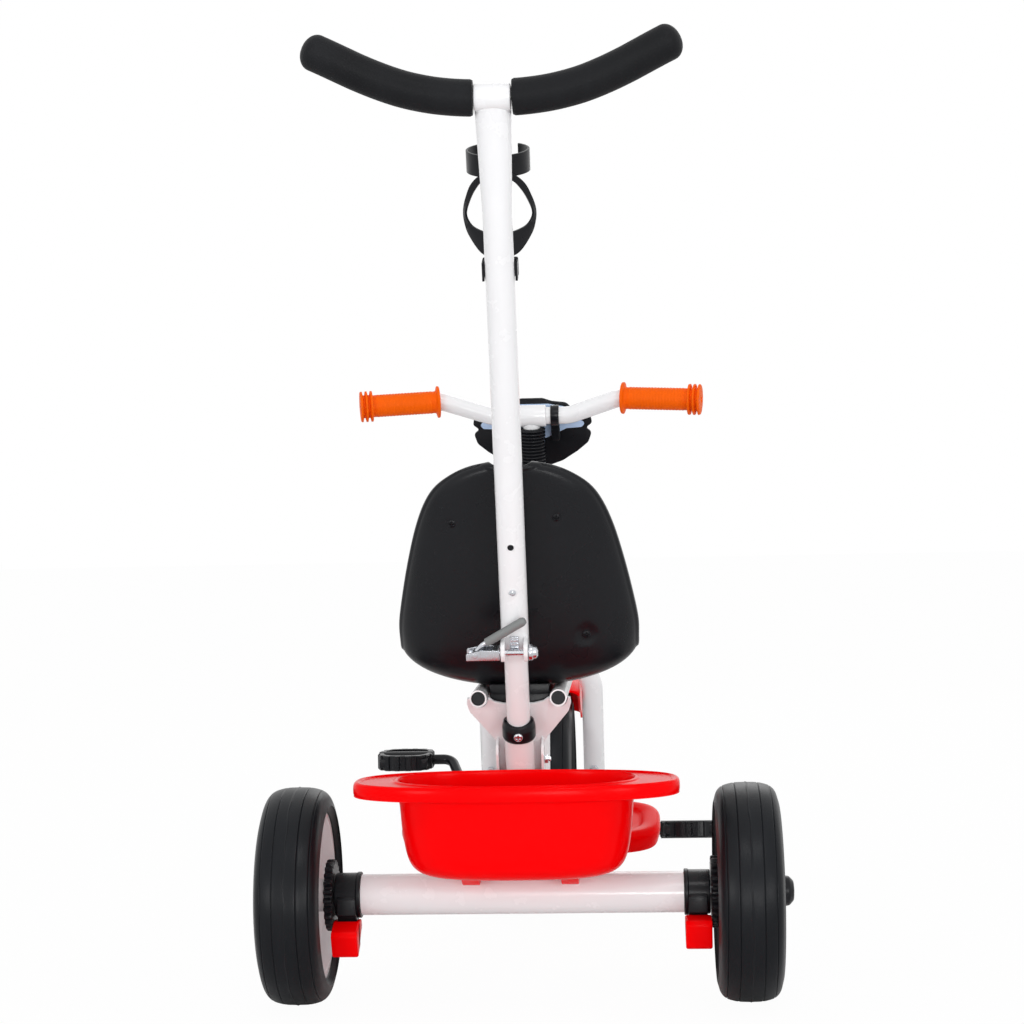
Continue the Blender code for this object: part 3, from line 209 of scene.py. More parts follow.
class Finish:
    """A material built round one Principled shader, with patterns in Object coordinates."""

    def __init__(self, name, colour, roughness, metallic=0.0, coat=0.0, shine=0.5):
        self.material = bpy.data.materials.new(name)
        self.material.use_nodes = True
        self.tree = self.material.node_tree
        self.shader = self.tree.nodes["Principled BSDF"]
        self.put("Base Color", (*colour, 1.0))
        self.put("Roughness", roughness)
        self.put("Metallic", metallic)
        self.put("Coat Weight", coat)
        self.shader.inputs["Coat Roughness"].default_value = 0.08
        self.shader.inputs["Specular IOR Level"].default_value = shine
        self.where = self.node("ShaderNodeTexCoord").outputs["Object"]

    def node(self, kind, settings=None, **values):
        made = self.tree.nodes.new(kind)
        for key, value in (settings or {}).items():
            setattr(made, key, value)
        for key, value in values.items():
            self.put(key.replace("_", " "), value, made)
        return made

    def put(self, key, value, node=None):
        socket = (node or self.shader).inputs[key]
        if isinstance(value, Value):
            self.tree.links.new(value.socket, socket)
        elif isinstance(value, bpy.types.NodeSocket):
            self.tree.links.new(value, socket)
        else:
            socket.default_value = value

    def noise(self, scale, detail=3.0, stretch=(1.0, 1.0, 1.0)):
        spread = self.node("ShaderNodeMapping", Vector=self.where, Scale=stretch)
        made = self.node("ShaderNodeTexNoise", Vector=spread.outputs[0], Scale=scale, Detail=detail)
        return Value(self.tree, made.outputs["Fac"])

    def cells(self, scale):
        made = self.node("ShaderNodeTexVoronoi", Vector=self.where, Scale=scale)
        return Value(self.tree, made.outputs["Distance"])

    def blend(self, share, first, second):
        """A colour that runs from first to second as share goes from 0 to 1."""
        made = self.node("ShaderNodeMix", {"data_type": "RGBA"})
        self.put(0, share, made)
        self.put(6, first, made)
        self.put(7, second, made)
        return made.outputs[2]

    def bump(self, height, depth):
        """Relief from a height of 0 to 1, with its depth in millimetres."""
        made = self.node("ShaderNodeBump", Height=height, Distance=depth * MM, Strength=1.0)
        self.put("Normal", made.outputs[0])


def shade(colour, factor):
    return (*(channel * factor for channel in colour), 1.0)


def painted_white():
    """Powder coat: a faint orange peel, with a little grey where dust lies."""
    colour = (0.86, 0.86, 0.875)
    made = Finish("gloss_white_paint", colour, 0.24, coat=0.4)
    dust = made.noise(14.0)
    made.put("Base Color", made.blend(dust, shade(colour, 0.975), shade(colour, 1.02)))
    made.put("Roughness", 0.2 + made.noise(60.0) * 0.12)
    made.bump(made.noise(420.0, 2.0), 0.06)
    return made.material


def moulded_plastic(name, colour, roughness, grain, depth, coat=0.0, shine=0.5):
    """Moulded plastic: fine spark-eroded grain, and patches where handling has polished it."""
    made = Finish(name, colour, roughness, coat=coat, shine=shine)
    worn = made.noise(22.0, 4.0)
    made.put("Base Color", made.blend(worn, shade(colour, 0.86), shade(colour, 1.14)))
    made.put("Roughness", (roughness - 0.07) + worn * 0.14)
    made.bump(made.noise(grain, 4.0), depth)
    return made.material


def glossy_red():
    """Polished red plastic with faint flow marks in its gloss."""
    colour = (0.95, 0.0, 0.001)
    made = Finish("glossy_red_plastic", colour, 0.16, shine=0.05)
    flow = made.noise(9.0, 3.0, (1.0, 1.0, 3.0))
    made.put("Base Color", made.blend(flow, shade(colour, 0.95), shade(colour, 1.04)))
    made.put("Roughness", 0.14 + flow * 0.1)
    made.bump(made.noise(160.0, 3.0), 0.05)
    return made.material


def foam(name, colour, roughness, cell, depth, shine):
    """Closed-cell foam: small pores all over, with paler rubbed streaks."""
    made = Finish(name, colour, roughness, shine=shine)
    rubbed = made.noise(30.0, 5.0, (1.0, 0.25, 0.25))
    made.put("Base Color", made.blend(rubbed.power(3.0), shade(colour, 0.85), shade(colour, 2.2)))
    made.put("Roughness", (roughness - 0.08) + rubbed * 0.16)
    pores = made.cells(cell) * 0.6 + made.noise(cell * 0.6, 4.0) * 0.4
    made.bump(pores, depth)
    return made.material


def orange_grip():
    """Soft orange rubber with raised points in crossing rows, smooth where the light rubs it."""
    colour = (0.94, 0.125, 0.0)
    made = Finish("orange_rubber_grip", colour, 0.5, shine=0.1)
    points = made.cells(360.0)
    worn = made.noise(40.0, 4.0)
    made.put("Base Color", made.blend(worn, shade(colour, 0.84), shade(colour, 1.08)))
    made.put("Roughness", 0.42 + worn * 0.16)
    made.bump(points * 0.7 + made.noise(900.0) * 0.3, 0.35)
    return made.material


def zinc(name, colour, roughness):
    """Plated steel with short brushed marks and dull spots."""
    made = Finish(name, colour, roughness, metallic=1.0)
    marks = made.noise(500.0, 3.0, (1.0, 0.12, 0.12))
    spots = made.noise(90.0, 3.0)
    made.put("Base Color", made.blend(spots, shade(colour, 0.82), shade(colour, 1.06)))
    made.put("Roughness", (roughness - 0.08) + marks * 0.2)
    made.bump(marks, 0.03)
    return made.material


# Base colours are linear; the blacks and the red reflect little, as in the photograph
LOOKS = {
    "white_paint": painted_white(),
    "white_plastic": moulded_plastic("white_moulded_plastic", (0.76, 0.74, 0.75), 0.4, 300.0, 0.06),
    "black_plastic": moulded_plastic(
        "black_moulded_plastic", (0.007, 0.0075, 0.0095), 0.28, 620.0, 0.1, shine=0.22
    ),
    "red_plastic": glossy_red(),
    "tyre_black": foam("black_foam_tyre", (0.006, 0.007, 0.009), 0.34, 700.0, 0.09, 0.17),
    "black_foam": foam("black_foam_sleeve", (0.011, 0.0115, 0.013), 0.5, 520.0, 0.22, 0.1),
    "orange_rubber": orange_grip(),
    "black_steel": moulded_plastic(
        "black_coated_steel", (0.006, 0.006, 0.008), 0.3, 350.0, 0.05, coat=0.05, shine=0.2
    ),
    "grey_rubber": moulded_plastic("grey_dipped_rubber", (0.2, 0.21, 0.21), 0.55, 400.0, 0.08),
    "zinc_steel": zinc("zinc_plated_steel", (0.68, 0.7, 0.74), 0.24),
    "pale_blue": moulded_plastic("pale_blue_plastic", (0.47, 0.62, 0.85), 0.3, 300.0, 0.05, coat=0.3),
}
RECORD = frame["record"]
BODY_OF = {node: body for body, nodes in RECORD["behaviour"]["bodies"].items() for node in nodes}
SLOT_OF = {entry["node"]: entry["material_slot"] for entry in RECORD["subparts"]}


def solid(name, points, faces, nodes, look=None, sharp=32.0):
    """A finished piece that rides with the first of these nodes and stands for all of them."""
    mesh = bpy.data.meshes.new(name)
    mesh.from_pydata(placed(points).tolist(), [], faces)
    clean = bmesh.new()
    clean.from_mesh(mesh)
    bmesh.ops.remove_doubles(clean, verts=clean.verts, dist=0.004 * MM)
    bmesh.ops.dissolve_degenerate(clean, edges=clean.edges, dist=0.001 * MM)
    bmesh.ops.recalc_face_normals(clean, faces=clean.faces)
    clean.to_mesh(mesh)
    clean.free()
    mesh.shade_smooth()
    mesh.set_sharp_from_angle(angle=math.radians(sharp))
    piece = bpy.data.objects.new(name, mesh)
    bpy.context.scene.collection.objects.link(piece)
    carrier = nodes[0]
    finish = look or SLOT_OF[carrier]
    mesh.materials.append(LOOKS[finish])
    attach(piece, BODY_OF[carrier])
    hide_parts(*nodes)


def rows_and_columns(shape, closed_rows, closed_columns):
    """The four-sided faces of a grid of points, joined end to end where a direction is closed."""
    rows, columns = shape
    index = np.arange(rows * columns).reshape(rows, columns)
    down = np.roll(index, -1, 0) if closed_rows else index[1:]
    here = index if closed_rows else index[:-1]
    right_here = np.roll(here, -1, 1)
    right_down = np.roll(down, -1, 1)
    quads = np.stack([here, right_here, right_down, down], axis=-1)
    if not closed_columns:
        quads = quads[:, :-1]
    return quads.reshape(-1, 4)


def skin(name, grid, nodes, look=None, closed_rows=False, ends=True, sharp=32.0):
    """A surface over a grid of points. ends closes its first and last rows with flat faces."""
    rows, columns = grid.shape[:2]
    faces = rows_and_columns((rows, columns), closed_rows, True).tolist()
    if ends and not closed_rows:
        faces.append(list(range(columns)))
        faces.append(list(range((rows - 1) * columns, rows * columns)))
    solid(name, grid.reshape(-1, 3), faces, nodes, look, sharp)


def eased(corners, closed=False, steps=5):
    """A polyline whose corners are arcs. Each corner is a point and, last, its radius."""
    corners = np.asarray(corners, float)
    points = corners[:, :-1]
    radii = corners[:, -1]
    count = len(points)
    found = []
    for i in range(count):
        if not closed and i in (0, count - 1) or radii[i] <= 0:
            found.append(points[i][None])
            continue
        before = points[i - 1] - points[i]
        after = points[(i + 1) % count] - points[i]
        a = unit(before)
        b = unit(after)
        half = math.acos(np.clip(a @ b, -1.0, 1.0)) / 2
        if half > NEARLY_STRAIGHT:
            found.append(points[i][None])
            continue
        limit = min(np.linalg.norm(before), np.linalg.norm(after)) * 0.49
        reach = min(radii[i] / math.tan(half), limit)
        radius = reach * math.tan(half)
        centre = points[i] + unit(a + b) * (radius / math.sin(half))
        first = unit(points[i] + a * reach - centre)
        last = unit(points[i] + b * reach - centre)
        sweep = math.pi - 2 * half
        share = np.linspace(0.0, 1.0, steps + 1)[:, None]
        mixed = first * np.sin((1 - share) * sweep) + last * np.sin(share * sweep)
        found.append(centre + mixed / math.sin(sweep) * radius)
    return np.concatenate(found)


def oblong(left, right, low, high, soft):
    """The four corners of an oblong, each with the same corner radius."""
    return [(left, low, soft), (right, low, soft), (right, high, soft), (left, high, soft)]


def spool(inner, outer, low, high, soft):
    """The profile of a plain ring or disc whose outer corners alone are soft."""
    return [(inner, low, 0), (outer, low, soft), (outer, high, soft), (inner, high, 0)]


def mirrored(half):
    """An outline from the corners of its right half."""
    return half + [(-a, b, r) for a, b, r in reversed(half)]


def across_axis(axis):
    """Two unit directions square to an axis, the first as near to X as can be."""
    axis = unit(np.asarray(axis, float))
    start = AHEAD if abs(axis[0]) > 0.9 else ACROSS
    side = unit(start - axis * (start @ axis))
    return side, np.cross(axis, side)


def turned(name, profile, centre, axis, nodes, look=None, steps=72, relief=None, sharp=32.0):
    """A profile of (radius, along, corner radius) turned round an axis.

    relief(turn, radius, along) moves its points along the axis.
    """
    closed = profile[0][0] > 0
    line = eased(profile, closed=closed)
    side, other = across_axis(axis)
    turns = full_turn(steps)
    radius = line[:, :1] * np.ones(steps)
    height = line[:, 1:] * np.ones(steps)
    if relief:
        height = height + relief(turns[None, :], radius, height)
    ring = np.cos(turns)[:, None] * side + np.sin(turns)[:, None] * other
    grid = centre + ring[None] * radius[..., None] + unit(np.asarray(axis, float)) * height[..., None]
    skin(name, grid, nodes, look, closed_rows=closed, ends=False, sharp=sharp)


def pipe(name, path, radius, nodes, look=None, wall=0.0, plane=None, sides=40, squash=None, sharp=32.0):
    """A round section carried along a path, solid or with a wall.

    squash gives its scale across and through, one of each for every point of the path.
    """
    path = np.asarray(path, float)
    tangent = unit(np.gradient(path, axis=0))
    reference = plane if plane is not None else across_axis(tangent[0])[0]
    first = unit(reference - tangent * (tangent @ reference)[:, None])
    second = np.cross(tangent, first)
    turns = full_turn(sides)
    radii = np.broadcast_to(np.asarray(radius, float), (len(path),))
    wide, thin = squash if squash else (np.ones(len(path)), np.ones(len(path)))

    def rings(less):
        a = (radii * wide - less)[:, None, None] * np.cos(turns)[None, :, None] * first[:, None]
        b = (radii * thin - less)[:, None, None] * np.sin(turns)[None, :, None] * second[:, None]
        return path[:, None] + a + b

    if wall:
        grid = np.concatenate([rings(0.0), rings(wall)[::-1]])
        skin(name, grid, nodes, look, closed_rows=True, sharp=sharp)
    else:
        skin(name, rings(0.0), nodes, look, sharp=sharp)


def slab(name, outline, origin, across, upward, low, high, nodes, look=None, edge=0.6):
    """A flat outline of (a, b, corner radius) with soft edges, from low to high square to it."""
    line = eased(outline, closed=True)
    area = np.sum(line[:, 0] * np.roll(line[:, 1], -1) - np.roll(line[:, 0], -1) * line[:, 1])
    step = np.roll(line, -1, 0) - np.roll(line, 1, 0)
    inward = unit(np.stack([-step[:, 1], step[:, 0]], 1)) * math.copysign(1.0, area)
    low, high = min(low, high), max(low, high)
    bevel = np.linspace(0.0, math.pi / 2, 4)
    inset = np.concatenate([edge * (1 - np.sin(bevel)), edge * (1 - np.cos(bevel))])
    level = np.concatenate([low + edge * (1 - np.cos(bevel)), high - edge * (1 - np.sin(bevel))])
    flat = line[None] + inward[None] * inset[:, None, None]
    across = np.asarray(across, float)
    upward = np.asarray(upward, float)
    normal = np.cross(across, upward)
    grid = origin + flat[..., :1] * across + flat[..., 1:] * upward + level[:, None, None] * normal
    skin(name, grid, nodes, look)


def ribbon(name, path, width, thick, plane, nodes):
    """A flat strip along a path, its width along plane's direction and its thickness square to that."""
    path = np.asarray(path, float)
    tangent = unit(np.gradient(path, axis=0))
    wide = unit(plane - tangent * (tangent @ plane)[:, None])
    through = np.cross(tangent, wide)
    a = width / 2
    b = thick / 2
    section = eased(oblong(-a, a, -b, b, 0.5), closed=True, steps=3)
    grid = path[:, None] + section[None, :, :1] * wide[:, None] + section[None, :, 1:] * through[:, None]
    skin(name, grid, nodes)


def curve_through(points, count):
    """A smooth curve through points, by Catmull and Rom's rule."""
    points = np.asarray(points, float)
    padded = np.concatenate([2 * points[:1] - points[1:2], points, 2 * points[-1:] - points[-2:-1]])
    t = np.linspace(0.0, len(points) - 1.0001, count)
    i = t.astype(int)
    u = (t - i)[:, None]
    a, b, c, d = padded[i], padded[i + 1], padded[i + 2], padded[i + 3]
    return b + 0.5 * u * (c - a + u * (2 * a - 5 * b + 4 * c - d + u * (3 * (b - c) + d - a)))


def walked(points):
    """How far along a polyline each of its points is."""
    return np.concatenate([[0.0], np.cumsum(np.linalg.norm(np.diff(points, axis=0), axis=1))])


def oval(half_x, half_y, power, count):
    """Points round an ellipse at power 2, squarer above it."""
    turns = full_turn(count)
    c = np.cos(turns)
    s = np.sin(turns)
    x = half_x * np.sign(c) * np.abs(c) ** (2 / power)
    y = half_y * np.sign(s) * np.abs(s) ** (2 / power)
    return np.stack([x, y], 1)


def screw(name, centre, axis, radius, nodes, height, look="zinc_steel"):
    """A domed screw head with a cross cut in it."""

    def recess(turn, r, along):
        arm = np.minimum(np.abs(r * np.sin(turn)), np.abs(r * np.cos(turn)))
        inside = (r < radius * 0.62) & (along > 0)
        return np.where(inside, -height * 0.55 * (1 - smooth(arm, radius * 0.1, radius * 0.2)), 0.0)

    rise = np.linspace(0.0, math.pi / 2, 9)
    dome = [(radius * math.cos(a), height * (0.35 + 0.65 * math.sin(a)), 0.0) for a in rise[:-1]]
    inner = [(radius * share, height * (0.35 + 0.65 * math.sqrt(1 - share * share)), 0.0)
             for share in (0.55, 0.45, 0.35, 0.25, 0.15)]
    dome = [p for p in dome if p[0] > radius * 0.62]
    profile = [(0.0, 0.0, 0.0), (radius, 0.0, 0.0)] + dome + inner + [(0.0, height, 0.0)]
    turned(name, profile, centre, axis, nodes, look, steps=48, relief=recess)


def tyre(name, radius, half, band, x, y, lines, node):
    """A foam tyre: a rounded section, with fine grooves round it and a wavering mould seam."""
    inner = radius - band
    outline = eased(
        [
            (half - 6.0, inner, 0.0), (half - 1.4, inner + 6.0, 7.0), (half, radius - 19.0, 22.0),
            (half - 4.2, radius - 4.2, 15.0), (half - 18.0, radius, 42.0), (0.0, radius + 0.2, 0.0),
        ],
        steps=12,
    )
    length = walked(outline)
    split = length[-1] * 0.45
    even = np.concatenate([np.linspace(0, split, 40)[:-1], np.linspace(split, length[-1], 90)])
    side = np.stack([np.interp(even, length, outline[:, i]) for i in (0, 1)], 1)
    section = np.concatenate([side, (side * [-1, 1])[::-1][1:]])
    turns = full_turn(180)[None]
    across = section[:, :1] + 0 * turns
    height = section[:, 1:] + 0 * turns
    top = smooth(section[:, 1:], radius - 14.0, radius - 6.0)
    for line in lines:
        height = height - 0.75 * top * np.exp(-(((across - line) / 0.42) ** 2))
    seam = 0.5 * np.sin(7 * turns + x) + 0.35 * np.sin(17 * turns)
    height = height + 0.45 * top * np.exp(-(((across - seam) / 0.5) ** 2))
    height = height + 0.12 * np.sin(23 * turns) * np.exp(-(((across - seam) / 2.0) ** 2))
    grid = np.stack([x + across, y + height * np.cos(turns), radius + height * np.sin(turns)], -1)
    skin(name, grid, [node], closed_rows=True, sharp=60.0)


def wheel(word, side):
    """A rear wheel: tyre, dished rim with five broad spokes in relief, toothed flange and end cap."""
    x = side * REAR_X
    hub = np.array([0.0, 0.0, REAR_R])
    axis = ACROSS * side
    grooves = (-22.0, -11.0, 11.0, 22.0)
    tyre("tyre_" + word, REAR_R, REAR_HALF, REAR_BAND, x, 0.0, grooves, "rear_tyre_" + word)
    outer = REAR_R - REAR_BAND - 0.1
    rim("rim_" + word, hub, axis, outer, 23.5, 15.0, 5.3, (-26.2, 17.7), REAR_X, "rear_rim_" + word)
    turns = full_turn(192)
    tooth = 29.6 + 3.8 * smooth(np.cos(24 * turns), -0.35, 0.35)
    bore = 5.4 + 0 * turns
    spoke = np.stack([0 * turns, np.cos(turns), np.sin(turns)], 1)
    profile = (
        (bore, 176.3), (tooth - 0.8, 176.3), (tooth, 177.2), (tooth, 183.2), (tooth - 0.8, 184.0),
        (bore, 184.0),
    )
    loops = [hub + spoke * reach[:, None] + axis * along for reach, along in profile]
    skin("flange_" + word, np.array(loops), ["wheel_flange_" + word], closed_rows=True)
    cap("cap_" + word, hub, axis, "axle_cap_" + word)


def cap(name, hub, axis, node):
    """A round cap with a groove near its foot, on the end of the axle rod."""
    profile = [
        (0.0, 228.7, 0.0), (15.5, 228.7, 1.0), (15.5, 232.0, 0.6), (14.6, 233.0, 0.5),
        (15.0, 241.0, 3.0), (13.5, 249.0, 4.0), (9.0, 253.2, 5.0), (0.0, 254.0, 0.0),
    ]
    turned(name, profile, hub, axis, [node])


def rim(name, hub, axis, outer, half, hub_r, bore, hub_ends, middle, node):
    """A moulded rim: band, dished web with five spokes standing out of it, and hub."""

    def spokes(turn, radius, along):
        web = smooth(radius, hub_r + 4.0, hub_r + 10.0)
        web = web * (1 - smooth(radius, outer - 20.0, outer - 14.0))
        spoke = smooth(np.cos(5 * turn), -0.1, 0.5)
        facing = np.where(along > middle - 8.0, 1.0, -0.6)
        return web * facing * (5.0 * spoke - 1.5)

    a = middle
    low, high = hub_ends
    steps = np.linspace(hub_r + 5.0, outer - 13.0, 14)
    web_out = [(r, a - 3.0 - 4.0 * (r - hub_r) / (outer - hub_r), 0.0) for r in steps]
    web_in = [(r, a - 10.0 - 4.0 * (r - hub_r) / (outer - hub_r), 0.0) for r in steps]
    profile = (
        [(bore, a + low, 0.0), (hub_r, a + low, 1.5), (hub_r + 1.0, a - 10.0, 2.0)]
        + web_in
        + [
            (outer - 6.0, a - half, 1.5), (outer, a - half, 1.0), (outer, a + half, 1.0),
            (outer - 5.0, a + half, 2.0), (outer - 8.0, a - 3.0, 4.0),
        ]
        + web_out[::-1]
        + [(hub_r + 1.0, a - 2.0, 2.0), (hub_r, a + high, 1.5), (bore, a + high, 0.0)]
    )
    turned(name, profile, hub, axis, [node], steps=120, relief=spokes)


def rear_end():
    """The axle tube with its collars, brake lugs and pedals, and the rod's ends."""
    hub = np.array([0.0, 0.0, REAR_R])
    path = hub + np.linspace(-TUBE_END, TUBE_END, 3)[:, None] * ACROSS
    pipe("axle_tube", path, TUBE_R, ["rear_axle_tube"], wall=2.0, sides=72)
    path = hub + np.linspace(-AXLE_END, AXLE_END, 3)[:, None] * ACROSS
    pipe("axle_rod", path, AXLE_ROD_R, ["rear_axle"])
    for side, word in SIDES:
        node = "rear_collar_" + word
        profile = [
            (5.4, 135.0, 0.0), (16.7, 135.0, 0.5), (16.7, 151.3, 0.0), (21.5, 151.3, 0.8),
            (21.5, 154.6, 0.8), (20.7, 155.6, 0.4), (20.6, 175.4, 1.2), (5.4, 175.4, 0.0),
        ]
        turned("collar_" + word, profile, hub, ACROSS * side, [node])
        shape = [
            (-17.0, 105.0, 1.0), (-24.0, 101.0, 3.0), (-24.5, 85.5, 1.0), (-19.0, 84.5, 1.0),
            (-17.0, 70.0, 3.0), (-13.0, 66.5, 3.0), (-5.0, 66.5, 3.0), (-1.0, 70.0, 3.0),
            (6.0, 84.0, 3.0), (9.0, 97.0, 0.0),
        ]
        slab("brake_lug_" + word, shape, *SIDE_PLANE, side * 155.0, side * 172.5, [node], edge=0.8)
        brake_pedal(word, side)


BRAKE_PAD = (
    (-11.5, 9.5, 1.5), (-33.0, 8.0, 3.0), (-36.5, 4.0, 3.0),
    (-33.0, -17.0, 3.0), (-29.0, -19.0, 2.0), (-11.5, -14.5, 1.5),
)
BRAKE_EAR = (
    (5.5, -3.0, 3.5), (3.5, 5.0, 4.0), (-4.0, 7.0, 4.0), (-14.0, 9.0, 1.0),
    (-20.0, 4.0, 1.0), (-20.0, -14.0, 1.0), (-3.0, -6.0, 3.0),
)


def brake_pedal(word, side):
    """A moulded lever: a thick pad with soft edges, and two ears that hold it to the pivot."""
    pivot = BRAKE_PIVOT
    angle = PRESSED if side < 0 else 0.0
    c, s = math.cos(angle), math.sin(angle)
    node = "brake_pedal_" + word

    def about(rows):
        return [(pivot[0] + y * c - z * s, pivot[1] + y * s + z * c, r) for y, z, r in rows]

    pad = about(BRAKE_PAD)
    ear = about(BRAKE_EAR)
    slab("pad_" + word, pad, *SIDE_PLANE, side * 151.5, side * 175.9, [node], edge=1.8)
    for number, (low, high) in enumerate(((151.5, 154.6), (172.9, 175.9))):
        slab(f"ear_{word}_{number}", ear, *SIDE_PLANE, side * low, side * high, [node], edge=0.6)
    pin = np.array([side * 152.7, pivot[0], pivot[1]])
    screw("pivot_screw_" + word, pin, -ACROSS * side, 3.2, [node], 1.4)


def main_frame():
    """The main tube, head tube, rails whose open ends hold a black insert of painted shade, cross strip,
    socket and gusset.
    """
    corners = [
        (0, 17.5, REAR_R, 0), (0, 265, REAR_R, 62), (0, 345, 345, 62),
        (*(steer(MAIN_JOIN) + [0, -16.5, 0]), 0),
    ]
    path = eased(corners, steps=14)
    pipe("main_tube_skin", path, MAIN_R, ["main_tube"], plane=ACROSS, sides=48)
    weld("axle_weld", np.array([0, 18.0, REAR_R]), AHEAD, MAIN_R, 2.0, "main_tube")
    top = steer(MAIN_JOIN) + [0, -17.5, 0]
    weld("head_weld", top, unit(path[-1] - path[-2]), MAIN_R, 2.0, "main_tube")
    head = [
        (13.1, HEAD_LOW, 0.0), (19.1, HEAD_LOW, 0.8), (19.1, HEAD_LOW + 7.5, 0.8),
        (17.5, HEAD_LOW + 9.0, 0.8), (17.5, HEAD_HIGH - 9.0, 0.8), (19.1, HEAD_HIGH - 7.5, 0.8),
        (19.1, HEAD_HIGH, 0.8), (13.1, HEAD_HIGH, 0.0),
    ]
    turned("head_tube_skin", head, steer(0), STEER_UP, ["head_tube"])
    for side, word in SIDES:
        x = side * RAIL_X
        corners = [(x, -9, RAIL_Z, 0), (x, 235, RAIL_Z, 45), (side * 8.0, 320.0, RAIL_Z, 0)]
        pipe("rail_" + word, eased(corners, steps=10), RAIL_R, ["seat_rail_" + word], wall=1.4, plane=UP)
        # A black insert just inside each rail's open end: painted shade that makes the bore look black
        plug = [(x, -7.6, RAIL_Z), (x, 40.0, RAIL_Z)]
        pipe("rail_bore_shade_" + word, plug, 6.5, ["seat_rail_" + word], look="black_plastic")
    strip = oblong(-28.5, 28.5, 22.0, 52.0, 0)
    slab("cross_strip", strip, *FLAT_PLANE, 281.6, 285.4, ["seat_cross_strip"], edge=0.5)
    socket = [bar(-136.0), bar(-100.0), bar(-40.0), bar(-2.9)]
    pipe("socket_skin", socket, SOCKET_R, ["handle_socket"], wall=2.4, plane=ACROSS, sides=56)
    gusset()
    bolt_end = [
        (0.0, 22.9, 0), (4.3, 22.9, 0.4), (4.3, 26.6, 0.6), (2.4, 26.8, 0.3), (2.4, 29.0, 0.6),
        (0.0, 29.2, 0),
    ]
    turned("cross_bolt", bolt_end, bar(-25.7), ACROSS, ["frame_bolt"], steps=6, sharp=20.0)


def weld(name, centre, axis, radius, bead, node):
    """A rippled bead of weld where a tube ends."""
    turns = full_turn(120)
    around = full_turn(14)
    side, other = across_axis(axis)
    ring = np.cos(turns)[:, None] * side + np.sin(turns)[:, None] * other
    size = bead * (1 + 0.16 * np.sin(turns * 26))
    out = radius + size[:, None] * np.cos(around)[None]
    along = size[:, None] * np.sin(around)[None]
    grid = centre + ring[:, None] * out[..., None] + unit(np.asarray(axis, float)) * along[..., None]
    skin(name, grid, [node], closed_rows=True)


def gusset():
    """The pressed Y plate, with rings round the rails, and folded edges down its stem."""
    back = SOCKET_R + 0.4
    thick = 3.0

    def k_at(z):
        return (z - BAR_Z - back * math.sin(LEAN)) / math.cos(LEAN)

    notch_k = (RAIL_Z - BAR_Z - (back + thick / 2) * math.sin(LEAN)) / math.cos(LEAN)
    turns = np.linspace(0.0, math.pi, 17)
    half = [
        (22.5, k_at(118.6), 0.5), (22.5, k_at(242), 12.0), (46.5, k_at(271), 8.0),
        (49.0, k_at(279), 4.0), (48.5, notch_k, 0.6),
    ]
    wide, deep = RAIL_R + 0.6, RAIL_R + 1.9
    half += [(RAIL_X + wide * math.cos(t), notch_k - deep * math.sin(t), 0.0) for t in turns]
    half += [(27.0, k_at(284), 1.0), (23.0, k_at(281), 3.0), (14.0, k_at(279), 6.0)]
    node = ["frame_gusset"]
    low, high = -(back + thick), -back
    slab("gusset_plate", mirrored(half), *BAR_PLANE, low, high, node, edge=0.5)
    fold = [
        (-15.9, -132.0, 0.5), (-15.9, -10.0, 0.5), (0.0, -11.0, 4.0), (5.0, -18.0, 3.0),
        (5.0, -40.0, 3.0), (-4.0, -54.0, 8.0), (-6.0, -132.0, 0.5),
    ]
    for side, word in SIDES:
        low, high = side * -22.5, side * -20.0
        slab("gusset_fold_" + word, fold, bar(0), BAR_BACK, BAR_UP, low, high, node, edge=0.5)


def front_end():
    """The fork with its crown, axle brackets and bolts, the bellows and the fender."""
    turns = np.linspace(0.0, math.pi, 40)
    crown = np.array([steer(CROWN_S + CROWN_RISE * math.sin(t), -FORK_X * math.cos(t)) for t in turns])
    legs = [steer(s, -FORK_X) for s in (FOOT_S, 60.0, 100.0)]
    path = np.concatenate([legs, crown, [p * [-1, 1, 1] for p in reversed(legs)]])
    pipe("fork_skin", path, FORK_R, ["fork"], wall=2.0, plane=STEER_AHEAD, sides=48)
    stem_top = (BAR_CENTRE_Z - FRONT_R) / math.cos(RAKE)
    low = [steer(STEERER_LOW), steer(HEAD_LOW), steer(HEAD_HIGH + 1.0)]
    high = [steer(HEAD_HIGH), steer(380.0), steer(stem_top - 8)]
    pipe("steerer_low", low, STEERER_R, ["fork"])
    pipe("steerer_high", high, STEM_R, ["fork"])
    for side, word in SIDES:
        node = "axle_bracket_" + word
        profile = [
            (6.4, 47.5, 0), (14.5, 47.5, 1), (16.0, 49.5, 1), (16.0, 69.5, 1.5), (14.5, 71.5, 1.5),
            (6.4, 71.5, 0),
        ]
        turned("bracket_" + word, profile, steer(0), ACROSS * side, [node])
        plug = [steer(8, side * FORK_X), steer(16.5, side * FORK_X)]
        pipe("bracket_neck_" + word, plug, 12.4, [node])
        hexagon = [(0, 12.2, 0), (5.2, 12.2, 0.3), (5.2, 16.0, 0.8), (0, 16.2, 0)]
        bolt = ["bracket_bolt_" + word]
        middle = steer(FORK_BOLT_S, side * FORK_X)
        turned("nut_" + word, hexagon, middle, -STEER_AHEAD, bolt, steps=6, sharp=20.0)
        head = steer(FORK_BOLT_S, side * FORK_X, 12.2)
        screw("leg_screw_" + word, head, STEER_AHEAD, 4.8, bolt, 3.6)
    fender()
    bellows(stem_top)


